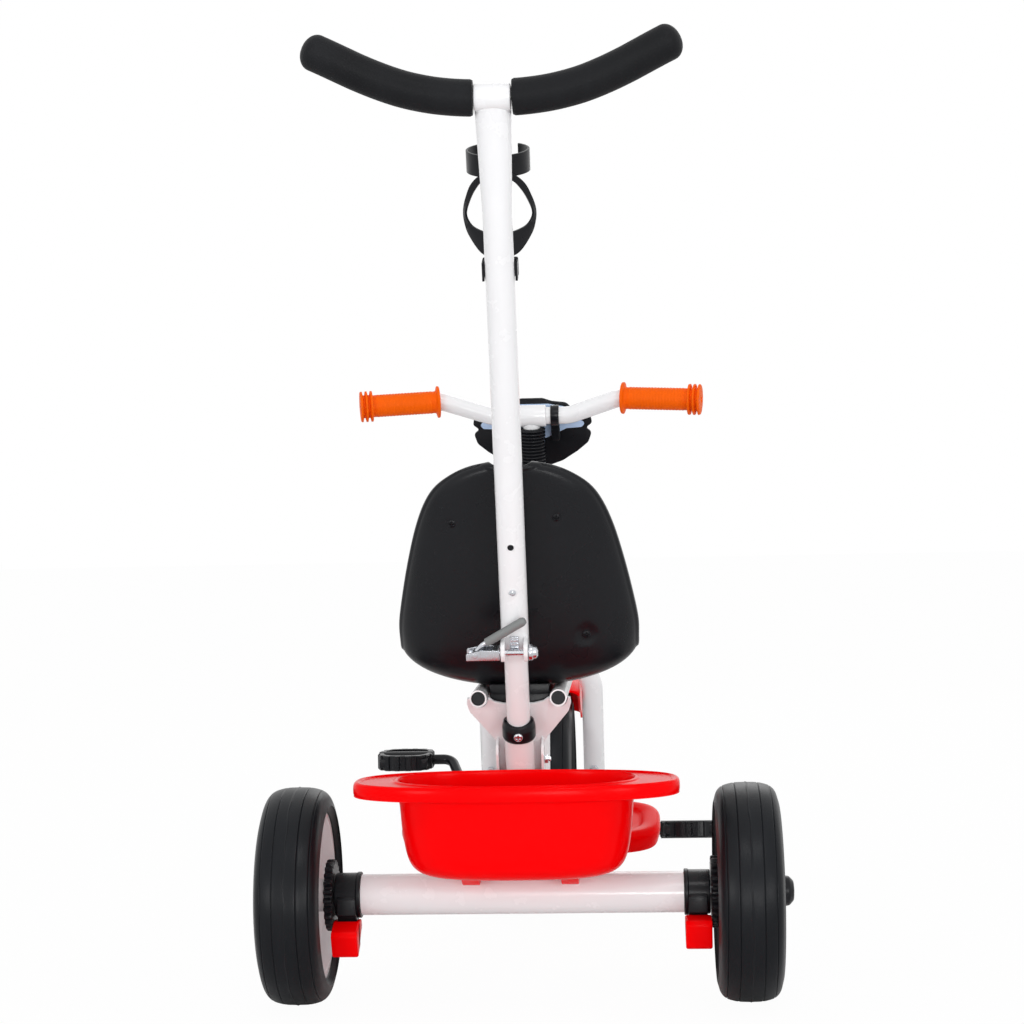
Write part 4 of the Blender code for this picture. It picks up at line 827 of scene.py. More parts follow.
def bellows(stem_top):
    """A sleeve of ribs, each a rounded wave, from the head tube up to the bar."""
    ribs = 30
    low = HEAD_HIGH + 1.0
    high = stem_top - 13.0
    along = np.linspace(low, high, ribs * 10 + 1)
    wave = 0.5 - 0.5 * np.cos(TURN * ribs * (along - low) / (high - low))
    radius = 13.0 + 2.2 * wave ** 0.7
    profile = [(10.4, low, 0.0)] + [(r, s, 0.0) for r, s in zip(radius, along)] + [(10.4, high, 0.0)]
    turned("bellows_skin", profile, steer(0), STEER_UP, ["bellows"], steps=64, sharp=70.0)


def fender():
    """A guard bent round the wheel: crowned across, with side skirts that shorten at its ends."""
    degrees = np.linspace(FENDER_REAR, FENDER_FRONT, 60)
    turn = np.radians(degrees)[:, None]
    taper = 22.0
    ends = np.minimum(np.minimum(degrees - FENDER_REAR, FENDER_FRONT - degrees), taper) / taper
    skirt = (-2.0 - FENDER_SKIRT * np.sin(ends * math.pi / 2))[:, None]
    share = np.linspace(-1.0, 1.0, 61)[None]
    corner = 0.72
    crown = np.minimum(np.abs(share) / corner, 1.0)
    wall = np.clip((np.abs(share) - corner) / (1.0 - corner), 0, 1)
    x = np.sign(share) * FENDER_HALF * crown ** 0.9
    drop = 6.5 - 6.0 * crown ** 6 + (skirt - 0.5) * wall
    layers = []
    for inset in (0.0, 2.3):
        reach = FENDER_R + drop - inset * (1 - wall)
        xs = x - np.sign(x) * inset * crown ** 6
        y = FRONT_Y - reach * np.cos(turn)
        layers.append(np.stack([xs + 0 * turn, y, FRONT_R + reach * np.sin(turn)], -1))
    ring = np.concatenate([layers[0], layers[1][:, ::-1]], axis=1)
    skin("fender_skin", ring, ["front_fender"])
    pipe("fender_boss", [steer(134.0), steer(165.0)], 9.0, ["front_fender"])


def front_wheel():
    """The front wheel, the crank through its hub and a pedal at each end."""
    hub = np.array([0.0, FRONT_Y, FRONT_R])
    grooves = (-26.0, -13.0, 13.0, 26.0)
    tyre("tyre_front", FRONT_R, FRONT_HALF, FRONT_BAND, 0.0, FRONT_Y, grooves, "front_tyre")
    outer = FRONT_R - FRONT_BAND - 0.4
    rim("rim_front", hub, ACROSS, outer, 29.0, 17.0, 6.3, (-46.0, 46.0), 0.0, "front_rim")
    high = (FRONT_Y + CRANK_AHEAD, FRONT_R + CRANK_DOWN)
    low = (FRONT_Y - CRANK_AHEAD, FRONT_R - CRANK_DOWN)
    crank = [
        (-196, *high, 0), (-112, *high, 14), (-90, FRONT_Y, FRONT_R, 14),
        (90, FRONT_Y, FRONT_R, 14), (112, *low, 14), (196, *low, 0),
    ]
    path = eased(crank, steps=10)
    normal = unit(np.cross(path[-1] - path[-2], [0, -CRANK_AHEAD, -CRANK_DOWN]))
    pipe("crank", path, CRANK_R, ["crank_axle"], plane=normal)
    pedal("left", np.array([-PEDAL_X, *high]))
    pedal("right", np.array([PEDAL_X, *low]))


def pedal(word, centre):
    """A pedal frame with blocks standing out all round its edge, two treads across it and a sleeve."""
    node = "pedal_" + word
    tilt = math.radians(9.0) if word == "right" else 0.0
    ahead = np.array([0.0, math.cos(tilt), -math.sin(tilt)])
    level = np.stack([ACROSS, ahead, np.cross(ACROSS, ahead)])
    count = 432
    body = oval(31.5, 37.0, 3.0, count)
    step = np.linalg.norm(np.roll(body, -1, 0) - body, axis=1)
    distance = np.cumsum(step) / step.sum()
    block = smooth(np.cos(TURN * distance * 18), -0.15, 0.15)
    outer = body * (1 + 0.052 * block[:, None])
    heights = [(-9.0, 0.965), (-7.8, 1.0), (7.8, 1.0), (9.0, 0.965)]
    loops = [np.concatenate([outer * k, np.full((count, 1), z)], 1) for z, k in heights]
    hole = oval(26.0, 31.5, 3.0, count)
    loops += [np.concatenate([hole, np.full((count, 1), z)], 1) for z in (9.0, -9.0)]
    skin(f"pedal_frame_{word}", centre + np.array(loops) @ level, [node], closed_rows=True)
    path = centre + np.array([[-32.0, 0, 0], [32.0, 0, 0]])
    pipe(f"pedal_sleeve_{word}", path, 10.0, [node], wall=3.6)
    for sign in (-1, 1):
        tread = oblong(-28.5, 28.5, -6.5, 6.5, 1)
        origin = centre + ahead * (sign * 28.5)
        slab(f"pedal_tread_{word}_{sign + 1}", tread, origin, ACROSS, ahead, -5.0, 5.0, [node], edge=0.8)
        rib = oblong(-1.6, 1.6, -24.0, 24.0, 0)
        origin = centre + ACROSS * (sign * 15.0)
        slab(f"pedal_rib_{word}_{sign + 1}", rib, origin, ACROSS, ahead, -6.5, -3.0, [node], edge=0.4)


def handlebar():
    """The bent bar with its centre block, the two grips, and the plate in front with its strap."""
    y = steer((BAR_CENTRE_Z - FRONT_R) / math.cos(RAKE))[1]
    forward = np.array([0.0, y, 0.0])
    inner = forward + BAR_KNEE
    outer = forward + BAR_END
    half = [(42.0, y, BAR_CENTRE_Z, 34.0), (*inner, 34.0), (*outer, 0.0)]
    corners = [(-a, b, c, r) for a, b, c, r in reversed(half)] + half
    path = eased(corners, steps=14)
    pipe("bar_skin", path, HANDLEBAR_R, ["handlebar"], plane=UP, sides=48)
    block = spool(0, 12.0, -16.5, 16.5, 1.6)
    turned("bar_block", block, np.array([0, y, BAR_CENTRE_Z]), ACROSS, ["handlebar"])
    for side, word in SIDES:
        mirror = np.array([side, 1.0, 1.0])
        outward = unit((outer - inner) * mirror)
        start = inner * mirror + outward * (np.linalg.norm(outer - inner) + 4.0 - GRIP_LENGTH)
        grip(word, start, outward)
    front_plate(y)


# The grip's end as (radius, distance from its end, corner radius)
GRIP_DISCS = (
    (12.0, 14.7, 0.4), (16.9, 14.2, 0.6), (16.9, 12.0, 0.6), (12.6, 11.2, 0.6), (12.6, 9.4, 0.6),
    (16.9, 8.6, 0.6), (16.9, 6.6, 0.6), (12.6, 5.8, 0.6), (12.6, 4.0, 0.6), (17.0, 3.2, 0.6),
    (16.4, 0.8, 1.4), (3.2, 0.0, 0.3), (3.0, 1.4, 0.2), (0.0, 1.5, 0.0),
)


def grip(word, start, outward):
    """A soft grip: an inner collar, a body with rings of small points, and three discs at its end."""
    rings = np.linspace(8.0, GRIP_LENGTH - 19.0, 153)
    body = [(12.0 + 0.32 * abs(math.sin(math.pi * (s - 8.0) / 3.4)), s, 0.0) for s in rings]
    foot = [(0.0, 0.0, 0.0), (17.2, 0.0, 0.8), (17.6, 2.6, 0.8), (12.6, 4.0, 1.0), (11.9, 6.0, 0.0)]
    discs = [(radius, GRIP_LENGTH - back, soft) for radius, back, soft in GRIP_DISCS]
    profile = foot + body + discs
    turned("grip_" + word, profile, start, outward, ["handlebar_grip_" + word], steps=96, sharp=50.0)


def front_plate(y):
    """The moulded plate, its pale blue layer and the strap over the bar."""
    half = [
        (9.0, 388.5, 6), (33.0, 397.0, 14), (50.0, 408.0, 12), (62.0, 418.0, 9), (66.0, 430.0, 5),
        (59.5, 434.5, 2), (66.5, 440.0, 4), (65.0, 448.0, 4), (50.0, 452.0, 8), (38.0, 464.0, 8),
        (22.0, 466.0, 6), (12.0, 469.5, 8),
    ]
    slab("plate_skin", mirrored(half), *FORK_PLANE, -27.0, -24.0, ["front_plate"], edge=1.0)
    trim = [
        (14.0, 424.0, 6), (38.0, 435.0, 6), (55.0, 436.0, 4), (59.0, 441.0, 3), (46.0, 448.0, 6),
        (36.0, 460.0, 6), (18.0, 463.4, 8),
    ]
    slab("trim_skin", mirrored(trim), *FORK_PLANE, -23.7, -21.6, ["plate_trim"], edge=0.5)
    centre = np.array([26.0, y, BAR_CENTRE_Z])
    band = spool(9.9, 11.6, -4.6, 4.6, 0.6)
    turned("strap_ring", band, centre, ACROSS, ["bar_clip"])
    tongue = [(-4.6, 425.0, 2), (4.6, 425.0, 2), (4.6, 460.0, 1), (-4.6, 460.0, 1)]
    slab("strap_tongue", tongue, steer(0, 26.0), ACROSS, STEER_UP, -21.2, -8.0, ["bar_clip"], edge=0.8)


# The seat's cross-sections as (y, z, half width, rise of the edges, lean of that rise in degrees)
SEAT_ROWS = (
    (222.0, 303.6, 56.7, 6.0, 62.0), (214.0, 298.6, 80.1, 12.0, 80.0),
    (196.0, 295.6, 93.8, 22.0, 88.0), (160.0, 294.6, 103.6, 33.0, 90.0),
    (120.0, 294.6, 107.5, 42.0, 90.0), (80.0, 294.6, 109.0, 48.0, 92.0),
    (48.0, 295.1, 109.3, 48.0, 100.0), (26.0, 299.0, 109.3, 44.0, 118.0),
    (12.0, 309.0, 109.3, 40.0, 140.0), (4.0, 324.0, 109.3, 36.0, 155.0),
    (-4.0, 346.0, 109.0, 33.0, 160.0), (-15.0, 375.7, 103.6, 30.0, 160.0),
    (-27.0, 407.4, 96.3, 27.0, 160.0), (-38.0, 436.8, 88.0, 24.0, 160.0),
    (-47.0, 460.2, 78.7, 20.0, 161.0), (-53.0, 475.8, 68.4, 16.0, 162.0),
    (-57.5, 487.5, 53.8, 12.0, 164.0), (-60.5, 495.2, 38.1, 9.0, 166.0),
    (-62.3, 500.0, 19.5, 6.0, 168.0),
)
# The block under the seat, in three slabs as (word, back, front, low, high)
SEAT_BLOCKS = (
    ("over", 17.8, 149.8, 286.0, 296.0),
    ("ahead", 58.2, 149.8, 275.2, 287.0),
    ("skirt", 17.8, 21.5, 270.2, 287.0),
)
SEAT_LONG = 150
SEAT_WIDE = 91
SEAT_POWER = 2.2
SEAT_THICK = 3.2
LIP_OUT = 1.6
LIP_IN = 0.6


def border(grid):
    """The outermost points of a grid, once round."""
    return np.concatenate([grid[0], grid[1:, -1], grid[-1, -2::-1], grid[-2:0:-1, 0]])


def from_border(count):
    """How many points in from the nearer end each of a row of points is."""
    return np.minimum(np.arange(count), np.arange(count)[::-1])


def seat():
    """The bucket, from the pan's lip round to the top of the back, with its lip, blocks and screws."""
    rows = curve_through(SEAT_ROWS, SEAT_LONG)
    lean = np.radians(rows[:, 4])
    inward = np.stack([0 * lean, -np.cos(lean), np.sin(lean)], 1)
    turns = np.linspace(0.0, math.pi, SEAT_WIDE)
    c = -np.cos(turns)
    shape = np.sign(c) * np.abs(c) ** (2 / SEAT_POWER)
    lift = 1 - np.sin(turns) ** (2 / SEAT_POWER)
    grid = np.zeros((SEAT_LONG, SEAT_WIDE, 3))
    grid[..., 0] = rows[:, 2:3] * shape
    grid[..., 1:] = rows[:, None, :2]
    grid += inward[:, None] * (rows[:, 3:4] * lift)[..., None]
    down = np.gradient(grid, axis=0)
    side = np.gradient(grid, axis=1)
    normal = unit(np.cross(side, down) + 1e-9)
    # The outside faces away from the rider, who sits over the pan
    rider = grid.mean(axis=(0, 1)) + [0, 60, 90]
    if ((grid - rider) * normal).sum() < 0:
        normal = -normal
    from_edge = np.minimum(from_border(SEAT_WIDE)[None] * 2.6, from_border(SEAT_LONG)[:, None] * 3.0)
    lip = 1 - smooth(from_edge, 7.0, 13.0)
    outside = grid + normal * (SEAT_THICK + LIP_OUT * lip)[..., None]
    screws = []
    for word, recess, deep in (("left", 6.5, 0.8), ("right", 6.5, 0.8), ("low", 10.5, 1.5)):
        low, high = (np.array(corner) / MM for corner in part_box("seat_screw_" + word))
        centre = (low + high) / 2 - [0, AXLE_Y, 0]
        away = np.linalg.norm(outside - centre, axis=2)
        outside = outside - normal * (deep * (1 - smooth(away, recess - 2.0, recess)))[..., None]
        screws.append((word, centre))
    inside = grid - normal * (LIP_IN * lip)[..., None]
    border_out = border(outside)
    border_in = border(inside)
    points = np.concatenate([outside.reshape(-1, 3), inside.reshape(-1, 3)])
    faces = rows_and_columns((SEAT_LONG, SEAT_WIDE), False, False)
    faces = np.concatenate([faces, faces[:, ::-1] + SEAT_LONG * SEAT_WIDE]).tolist()
    inner = np.concatenate([grid[1], grid[1:, -2], grid[-2, -2::-1], grid[-2:0:-1, 1]])
    half_wall = (border_out - border_in) / 2
    away = border(grid) - inner
    share = np.sum(away * half_wall, 1) / np.sum(half_wall ** 2, 1)
    away = unit(away - half_wall * share[:, None])
    round_turn = np.linspace(0.0, math.pi, 7)[:, None, None]
    reach = np.linalg.norm(half_wall, axis=1)[:, None] * away
    lips = (border_out + border_in) / 2 + half_wall * np.cos(round_turn) + reach * np.sin(round_turn)
    start = len(points)
    size = len(border_out)
    points = np.concatenate([points, lips.reshape(-1, 3)])
    faces += (rows_and_columns((7, size), False, True) + start).tolist()
    solid("seat_skin", points, faces, ["seat_shell"], sharp=50.0)
    for word, back, front, low, high in SEAT_BLOCKS:
        block = oblong(-28.3, 28.3, back, front, 1)
        slab("seat_block_" + word, block, *FLAT_PLANE, low, high, ["seat_shell"], edge=0.8)
    for word, centre in screws:
        axis = unit(np.array([centre[0] * 0.002, -0.94, -0.30]))
        node = ["seat_screw_" + word]
        screw("screw_head_" + word, centre + axis * 0.8, axis, 3.9, node, 2.0, look="black_steel")


# The tray's section, from its floor's top over the edge to its underside: (half x, half y, height)
TRAY_ROWS = (
    (80.0, 6.0, -2.4), (106.0, 26.0, -2.6), (112.0, 33.0, -1.8), (116.0, 36.5, 0.2),
    (126.0, 45.6, 1.2), (130.6, 49.8, -1.6), (132.0, 51.0, -7.0), (129.2, 48.2, -19.0),
    (126.8, 45.8, -19.0), (129.0, 48.0, -7.0), (124.0, 43.0, -3.6), (106.0, 26.0, -5.6),
    (80.0, 6.0, -5.6),
)
TRAY_TILT = math.radians(14.0)
TRAY_MIDDLE = np.array([0.0, 190.0, 142.0])


def footrest():
    """A tilted tray with rounded ends and a thick edge that turns down."""
    ahead = np.array([0.0, math.cos(TRAY_TILT), math.sin(TRAY_TILT)])
    level = np.stack([ACROSS, ahead, np.cross(ACROSS, ahead)])
    loops = []
    for half_x, half_y, z in curve_through(TRAY_ROWS, 70):
        ring = oval(half_x, half_y, 4.0, 120)
        loops.append(TRAY_MIDDLE + np.concatenate([ring, np.full((120, 1), z)], 1) @ level)
    skin("footrest_skin", np.array(loops), ["footrest"])
    boss = oblong(-13.0, 13.0, 178.0, 206.0, 2)
    slab("footrest_boss", boss, *FLAT_PLANE, 117.0, 137.0, ["footrest"], edge=0.8)


# The tub's section, from its floor up the outside, over the rim and down the inside, as (half x,
# half y, z, power of its oval)
TUB_ROWS = (
    (66.0, 26.0, 131.5, 2.4), (79.0, 36.0, 131.8, 2.4), (92.0, 46.0, 137.5, 2.4),
    (99.5, 51.5, 149.0, 2.4), (104.0, 54.5, 172.0, 2.4), (106.5, 56.5, 199.0, 2.4),
    (110.0, 58.0, 203.5, 2.4), (122.0, 59.2, 204.6, 2.45), (145.2, 60.8, 204.6, 2.5),
    (147.6, 62.3, 206.4, 2.5), (148.2, 62.8, 211.0, 2.5), (147.4, 62.2, 216.2, 2.5),
    (144.6, 60.4, 218.2, 2.5), (141.0, 59.6, 217.2, 2.5), (138.0, 59.0, 216.6, 2.5),
    (118.0, 57.4, 216.8, 2.45), (112.5, 56.8, 217.4, 2.4), (110.0, 56.0, 218.6, 2.4),
    (107.0, 54.4, 217.4, 2.4), (104.6, 53.8, 203.0, 2.4), (101.5, 52.0, 172.0, 2.4),
    (97.0, 49.0, 150.0, 2.4), (90.0, 43.6, 140.0, 2.4), (78.0, 34.0, 134.8, 2.4),
    (66.0, 26.0, 134.4, 2.4),
)
TUB_Y = -69.0


def basket():
    """The tub: a turned-out rim with flat side handles, drawn-in sides and a rounded floor edge."""
    loops = []
    for half_x, half_y, z, power in curve_through(TUB_ROWS, 190):
        ring = oval(half_x, half_y, power, 160)
        loops.append(np.stack([ring[:, 0], ring[:, 1] + TUB_Y, z + 0 * ring[:, 0]], 1))
    skin("basket_skin", np.array(loops), ["basket"], sharp=55.0)
    ledge = [(-64.0, 133.0, 1), (-60.0, 126.5, 2), (-36.0, 124.0, 2), (-32.0, 133.0, 1)]
    slab("basket_ledge", ledge, *SIDE_PLANE, -53.0, 53.0, ["basket"], edge=1.2)
    hook = [
        (-58.0, 132.5, 1), (-52.0, 127.0, 2), (-31.0, 115.0, 3), (-22.5, 113.0, 2),
        (-15.0, 113.4, 1), (-8.0, 118.6, 4), (0.0, 120.3, 8), (6.0, 121.5, 1), (8.0, 125.0, 2),
        (-18.0, 136.0, 2),
    ]
    for side, word in SIDES:
        slab("basket_foot_" + word, hook, *SIDE_PLANE, side * 38.0, side * 54.0, ["basket"], edge=0.8)


def push_bar():
    """The two tubes with their holes, the empty one shown by a black disc of painted shade, collar,
    button and quick clamp.
    """
    path = [bar(-110), bar(-40), bar(60), bar(215)]
    pipe("lower_tube_skin", path, LOWER_R, ["push_bar_lower"], wall=1.5, plane=ACROSS, sides=56)
    collar = [
        (11.3, -2.5, 0), (14.6, -2.5, 1.0), (15.7, 0.0, 2.0), (15.7, 9.0, 3.0), (14.0, 15.5, 2.0),
        (11.3, 15.5, 0),
    ]

    def arched(turn, radius, along):
        """Lifts the collar's top at its sides, so that it dips where the tube goes in behind."""
        return np.where(along > 4.0, 2.6 * (np.cos(turn) ** 2 - 0.5), 0.0)

    turned("collar_skin", collar, bar(0), BAR_UP, ["socket_collar"], relief=arched)
    screw("collar_screw_head", bar(5.5, 0, 15.4), BAR_BACK, 4.2, ["collar_screw"], 3.0)

    heights = np.concatenate([[84.9, 95.0, 130.0], np.linspace(300.0, 597.0, 30)])
    path = [bar(k) for k in heights]
    share = np.clip((heights - 500.0) / 97.0, 0, 1)
    flattened = (1 + 0.24 * share, 1 - 0.34 * share)
    node = ["push_bar_upper"]
    pipe("upper_tube_skin", path, UPPER_R, node, wall=1.4, plane=ACROSS, sides=64, squash=flattened)
    surface = UPPER_R - 0.25
    for k, radius in ((EMPTY_HOLE_K, 4.0), (BUTTON_K, 4.3)):
        low = radius - 0.9
        ring = [(low, -0.5, 0), (radius, -0.5, 0), (radius, 0.35, 0.3), (low, 0.35, 0.3)]
        turned(f"hole_edge_{int(k)}", ring, bar(k, 0, surface), BAR_BACK, node)
    # A thin black disc on the tube over the empty hole: painted shade standing for the hole's inside
    hole_shade = [(0, 0, 0), (2.85, 0, 0), (2.85, 0.35, 0.1), (0, 0.35, 0)]
    turned("empty_hole_shade", hole_shade, bar(EMPTY_HOLE_K, 0, surface), BAR_BACK, node, look="black_plastic")
    button = [(0, 6.0, 0), (3.0, 6.0, 0), (3.0, 13.2, 0.8), (1.9, 14.6, 1.0), (0, 14.9, 0)]
    turned("button_skin", button, bar(BUTTON_K), BAR_BACK, ["spring_button"], steps=40)
    clamp()


def clamp():
    """Two pressed ears, a ribbed lug, the through bolt with its nut, the channel and the bent lever."""
    ear = [
        (-2.0, 85.5, 0), (-19.0, 85.5, 3), (-25.0, 87.5, 6), (-27.0, 94.5, 5), (-25.0, 103.5, 6),
        (-19.0, 105.5, 3), (-2.0, 105.5, 0),
    ]
    node = ["push_bar_upper"]
    for side, word in SIDES:
        slab("clamp_ear_" + word, ear, bar(0), -BAR_BACK, BAR_UP, side * 8.5, side * 12.5, node, edge=0.8)
    lug = oblong(-4.2, 4.2, 91.0, 108.0, 1)
    slab("clamp_lug", lug, *BAR_PLANE, 12.9, 15.2, node, look="zinc_steel", edge=0.5)
    for number in range(4):
        low = 92.6 + 3.8 * number
        ridge = oblong(-3.9, 3.9, low, low + 1.9, 0.6)
        name = f"clamp_ridge_{number}"
        slab(name, ridge, *BAR_PLANE, 15.0, 16.2, node, look="zinc_steel", edge=0.4)
    bolt = [
        (0, -19.5, 0), (2.8, -19.5, 0.2), (2.8, 13.0, 0.2), (7.6, 13.0, 0.6), (7.6, 16.5, 0.8),
        (6.4, 17.2, 0.4), (5.6, 20.2, 1.2), (3.2, 21.6, 0.8), (0, 22.0, 0),
    ]
    turned("clamp_bolt_skin", bolt, bar(CLAMP_K, 0, CLAMP_H), ACROSS, ["clamp_bolt"], steps=48)
    channel()
    corner = bar(CLAMP_K + 8.0, -29.0, CLAMP_H)
    end = bar(CLAMP_K + 30.5, 8.0, CLAMP_H)
    lever = [(*bar(CLAMP_K + 1.0, -35.0, CLAMP_H), 0), (*corner, 10.0), (*end, 0)]
    pipe("lever_rod", eased(lever, steps=10), 2.5, ["cam_lever"], plane=BAR_BACK, sides=28)
    eye = spool(0, 3.2, -4.2, 4.2, 0.6)
    turned("lever_eye", eye, bar(CLAMP_K, RIVET_X, CLAMP_H), BAR_BACK, ["cam_lever"])
    direction = unit(end - corner)
    start = corner + direction * 4.0
    length = np.linalg.norm(end - start)
    sleeve = [
        (0, 0.0, 0), (4.0, 0.0, 0.8), (4.2, length, 3.0), (3.0, length + 3.2, 2.0),
        (0, length + 3.9, 0),
    ]
    turned("lever_sleeve_skin", sleeve, start, direction, ["lever_sleeve"], steps=40)


def channel():
    """The folded steel channel that the lever's cam sits in, with a rivet under it."""
    low = CLAMP_K - 5.0
    high = CLAMP_K + 5.0
    wall = [(-44.0, low, 0), (-13.4, low, 1), (-13.4, high, 2), (-30.0, high, 2), (-44.0, high - 3.0, 2)]
    for number, (near, far) in enumerate(((12.2, 14.2), (23.8, 25.8))):
        slab(f"channel_wall_{number}", wall, *BAR_PLANE, near, far, ["cam_channel"], edge=0.4)
    floor = oblong(-44.0, -13.4, 12.4, 25.6, 0.4)
    slab("channel_floor", floor, bar(0), ACROSS, BAR_BACK, -(low + 1.5), -low, ["cam_channel"], edge=0.3)
    end = oblong(12.4, 25.6, low, high, 0.4)
    slab("channel_end", end, bar(0), BAR_BACK, BAR_UP, 13.5, 19.6, ["cam_channel"], edge=0.4)
    pin = spool(0, 2.4, 11.9, 26.1, 0.4)
    turned("channel_pin", pin, bar(CLAMP_K, RIVET_X), BAR_BACK, ["cam_channel"], steps=32)
    rivet = [(0, -7.0, 0), (2.4, -7.0, 0.8), (3.0, -5.6, 0.6), (3.0, -4.6, 0), (0, -4.6, 0)]
    turned("channel_rivet", rivet, bar(CLAMP_K, -33.0, CLAMP_H), BAR_UP, ["cam_channel"], steps=32)


# One half of the cross handle, as (distance from the middle, rise)
HANDLE_CURVE = (
    (0, 0), (22, 0.1), (44, 2.2), (62, 5.6), (78, 10.0), (95, 16.4), (111, 23.5), (124, 30.0),
    (137, 36.6), (147, 41.5), (157.2, 46.5),
)


def handle():
    """The cross tube's sleeve and the two upswept foam grips."""
    route = curve_through(HANDLE_CURVE, 120)
    sleeve = [(9.5, -15.4, 0.5), (11.4, -15.4, 0.8), (11.4, 15.4, 0.8), (9.5, 15.4, 0.5)]
    turned("handle_sleeve", sleeve, bar(HANDLE_K), ACROSS, ["handle_cross_tube"])
    keep = route[route[:, 0] > 15.9]
    for side, word in SIDES:
        path = np.array([bar(HANDLE_K + up, side * x) for x, up in keep])
        gone = walked(path)
        end = gone[-1]
        fine = np.concatenate([np.linspace(0, end - 13, 66), np.linspace(end - 12.8, end, 34)])
        path = np.stack([np.interp(fine, gone, path[:, i]) for i in range(3)], 1)
        left = end - fine
        dome = np.sqrt(np.clip(1 - np.clip(1 - left / 12.0, 0, 1) ** 2.1, 0.0, 1.0))
        radius = np.maximum(FOAM_R * dome, 0.05) - (1 - smooth(fine, 0.0, 1.6))
        radius = np.maximum(radius, 0.02)
        node = ["foam_grip_" + word]
        pipe("foam_" + word, path, radius, node, plane=BAR_BACK, sides=56, sharp=60.0)


# The near and the far edge of a side loop, each as (x, ahead, k)
CAGE_ARM = (
    (2.0, 2.4, 526.0, 2.0, 2.4, 533.0), (12.0, 5.0, 524.0, 13.0, 5.0, 530.0),
    (20.0, 10.0, 514.0, 22.0, 10.5, 521.0), (25.5, 15.0, 502.0, 27.0, 16.0, 509.0),
    (28.0, 17.5, 493.0, 30.0, 21.5, 495.0), (26.5, 17.5, 487.0, 29.6, 22.0, 483.5),
    (22.0, 14.0, 482.0, 26.0, 18.0, 473.0), (13.0, 8.0, 479.0, 16.0, 9.5, 460.0),
    (3.0, 2.4, 478.0, 4.0, 2.4, 455.5),
)
# Its cross-section, as (share of the width, height)
CAGE_SECTION = (
    (0.0, 0.3), (0.06, 0.0), (0.94, 0.0), (1.0, 0.3), (1.0, 1.9), (0.94, 2.2), (0.06, 2.2), (0.0, 1.9),
)


def bottle_cage():
    """A thin moulded holder: back strip, open ring, two flat side loops and a foot."""
    front = UPPER_R + 0.3
    node = ["bottle_cage"]

    def cage(k, x, ahead):
        return bar(k, x, -(front + ahead))

    strip = [cage(k, 0, 1.8) for k in (441.0, 480.0, 530.0, 551.5)]
    ribbon("cage_strip", strip, 14.0, 2.8, ACROSS, node)
    turns = np.radians(np.linspace(-230.0, 50.0, 60))
    ring_r = 26.7
    ring = [cage(536.5, ring_r * math.cos(t), 29.5 + ring_r * math.sin(t)) for t in turns]
    ribbon("cage_ring", ring, 19.0, 2.2, BAR_UP, node)
    edges = curve_through(CAGE_ARM, 90)
    for side, word in SIDES:
        near = np.array([cage(k, side * x, ahead) for x, ahead, k in edges[:, :3]])
        far = np.array([cage(k, side * x, ahead) for x, ahead, k in edges[:, 3:]])
        along = np.gradient((near + far) / 2, axis=0)
        thick = unit(np.cross(along, far - near)) * side
        corners = [near + (far - near) * across + thick * out for across, out in CAGE_SECTION]
        skin("cage_arm_" + word, np.stack(corners, axis=1), node)
        beside = [bar(k, side * 14.4, -4.0) for k in (440.6, 448.0, 456.4)]
        ribbon("cage_clasp_" + word, beside, 13.0, 2.0, BAR_BACK, node)
    tail = oblong(-15.6, 15.6, 440.2, 457.0, 1.5)
    slab("cage_tail", tail, *BAR_PLANE, -(front + 4.0), -(front + 0.1), node)
    shelf = [(-9.0, 1.0, 1), (9.0, 1.0, 1), (9.0, 51.0, 4), (-9.0, 51.0, 4)]
    slab("cage_shelf", shelf, bar(0, 0, -front), ACROSS, -BAR_BACK, 446.0, 449.0, node, edge=0.6)
    lip = [cage(k, 0, 50.4) for k in (445.6, 452.0, 458.0)]
    ribbon("cage_lip", lip, 18.0, 2.8, ACROSS, node)


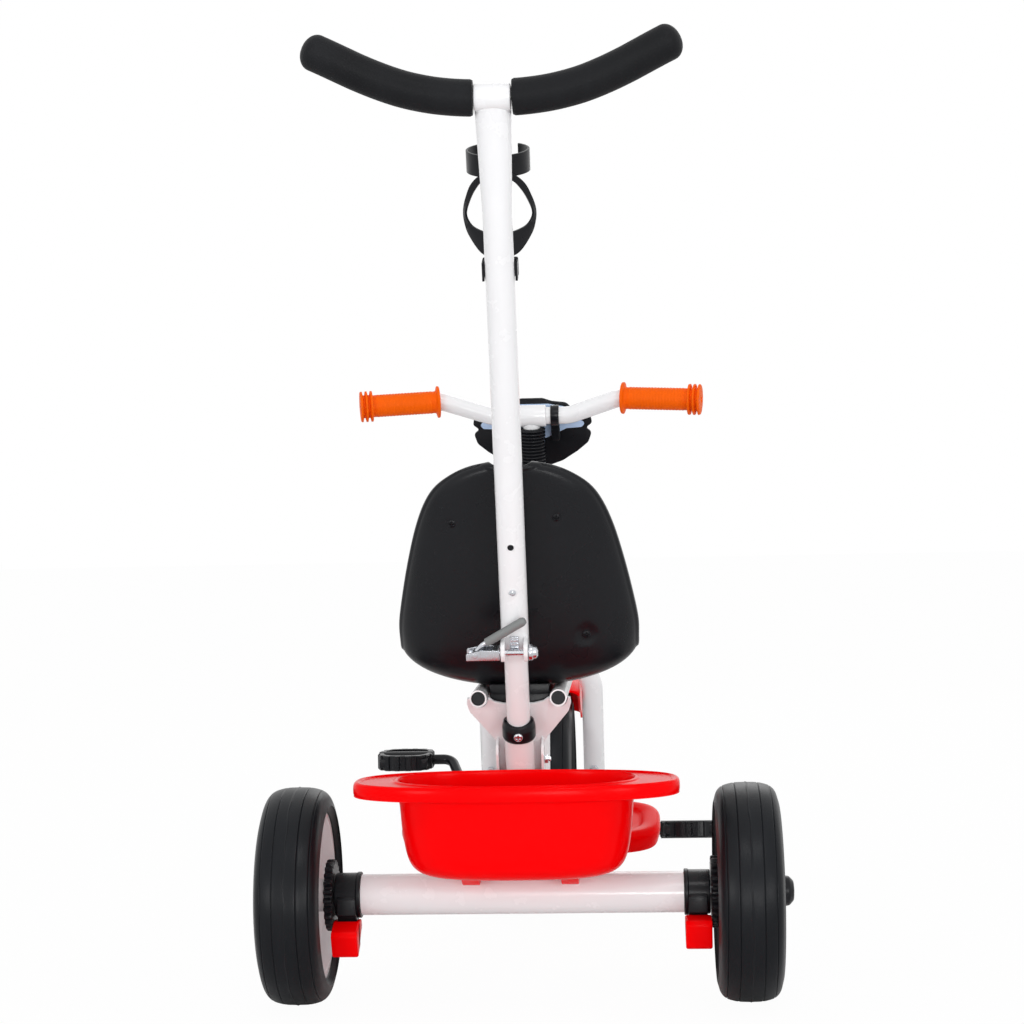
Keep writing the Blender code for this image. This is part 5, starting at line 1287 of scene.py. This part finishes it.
def stage_and_lights():
    """A white sweep of floor, white surroundings and large soft lamps."""
    reach = 12.0
    floor = bpy.data.meshes.new("floor")
    corners = [(-reach, -reach, 0), (reach, -reach, 0), (reach, reach, 0), (-reach, reach, 0)]
    floor.from_pydata(corners, [], [(0, 1, 2, 3)])
    item = bpy.data.objects.new("floor", floor)
    bpy.context.scene.collection.objects.link(item)
    item.location.z = -0.0005
    sheet = Finish("white_sweep", (0.86, 0.86, 0.86), 0.9)
    lit = sheet.node("ShaderNodeEmission", Color=(1.0, 1.0, 1.0, 1.0), Strength=1.0)
    seen = sheet.node("ShaderNodeLightPath")
    mixed = sheet.node("ShaderNodeMixShader")
    sheet.put(0, Value(sheet.tree, seen.outputs["Is Camera Ray"]) * 0.97, mixed)
    sheet.put(1, sheet.shader.outputs[0], mixed)
    sheet.put(2, lit.outputs[0], mixed)
    output = sheet.tree.nodes["Material Output"]
    sheet.tree.links.new(mixed.outputs[0], output.inputs["Surface"])
    floor.materials.append(sheet.material)

    world = bpy.data.worlds.new("studio")
    world.use_nodes = True
    tree = world.node_tree
    back = tree.nodes["Background"]
    back.inputs["Color"].default_value = (1.0, 1.0, 1.0, 1.0)
    paths = tree.nodes.new("ShaderNodeLightPath")
    seen = Value(tree, paths.outputs["Is Camera Ray"])
    for kind in ("Is Glossy Ray", "Is Transmission Ray"):
        seen = seen.maths("MAXIMUM", Value(tree, paths.outputs[kind]))
    strength = AROUND + seen * (1.0 - AROUND)
    tree.links.new(strength.socket, back.inputs["Strength"])
    bpy.context.scene.world = world

    target = np.array([0.0, 0.0, 0.4])
    for name, where, size, power in (
        ("left_softbox", (-3.4, -6.0, 1.2), 1.6, 56.0),
        ("right_softbox", (3.6, -6.0, 1.1), 1.6, 53.0),
        ("low_softbox", (0.5, -5.0, 0.4), 1.1, 32.0),
        ("top_softbox", (0.5, -2.4, 3.0), 0.5, 11.0),
        ("back_softbox", (0.4, 2.4, 1.6), 1.4, 6.0),
    ):
        lamp = bpy.data.lights.new(name, "AREA")
        lamp.shape = "DISK"
        lamp.size = size
        lamp.energy = power
        light = bpy.data.objects.new(name, lamp)
        bpy.context.scene.collection.objects.link(light)
        light.location = where
        aim = unit(target - np.array(where))
        light.rotation_euler = Vector(aim).to_track_quat("-Z", "Y").to_euler()


def camera():
    """The photograph's camera: its place, its three directions and a long lens."""
    right = np.array([0.99825, 0.05574, -0.01992])
    above = np.array([0.01921, 0.01328, 0.99973])
    behind = np.array([0.05599, -0.99836, 0.01219])
    place = placed([112.7, -2058.0, 484.1])
    data = bpy.data.cameras.new("photo_camera")
    data.sensor_width = 36.0
    # 2200 pixels of focal length over a picture 1024 wide
    data.lens = 2200.0 / 1024.0 * data.sensor_width
    data.clip_end = 50.0
    item = bpy.data.objects.new("photo_camera", data)
    bpy.context.scene.collection.objects.link(item)
    rows = [[*axes, at] for axes, at in zip(zip(right, above, behind), place)]
    item.matrix_world = Matrix(rows + [[0, 0, 0, 1]])
    bpy.context.scene.camera = item


rear_end()
for side, word in SIDES:
    wheel(word, side)
main_frame()
front_end()
front_wheel()
handlebar()
seat()
footrest()
basket()
push_bar()
handle()
bottle_cage()
stage_and_lights()
camera()

# A solid that no piece stands for is shown as it is, in its slot's finish
for node, item in frame["nodes"].items():
    if not item.hide_render:
        item.data.materials.clear()
        item.data.materials.append(LOOKS[SLOT_OF[node]])

bpy.context.scene.view_settings.view_transform = "Standard"
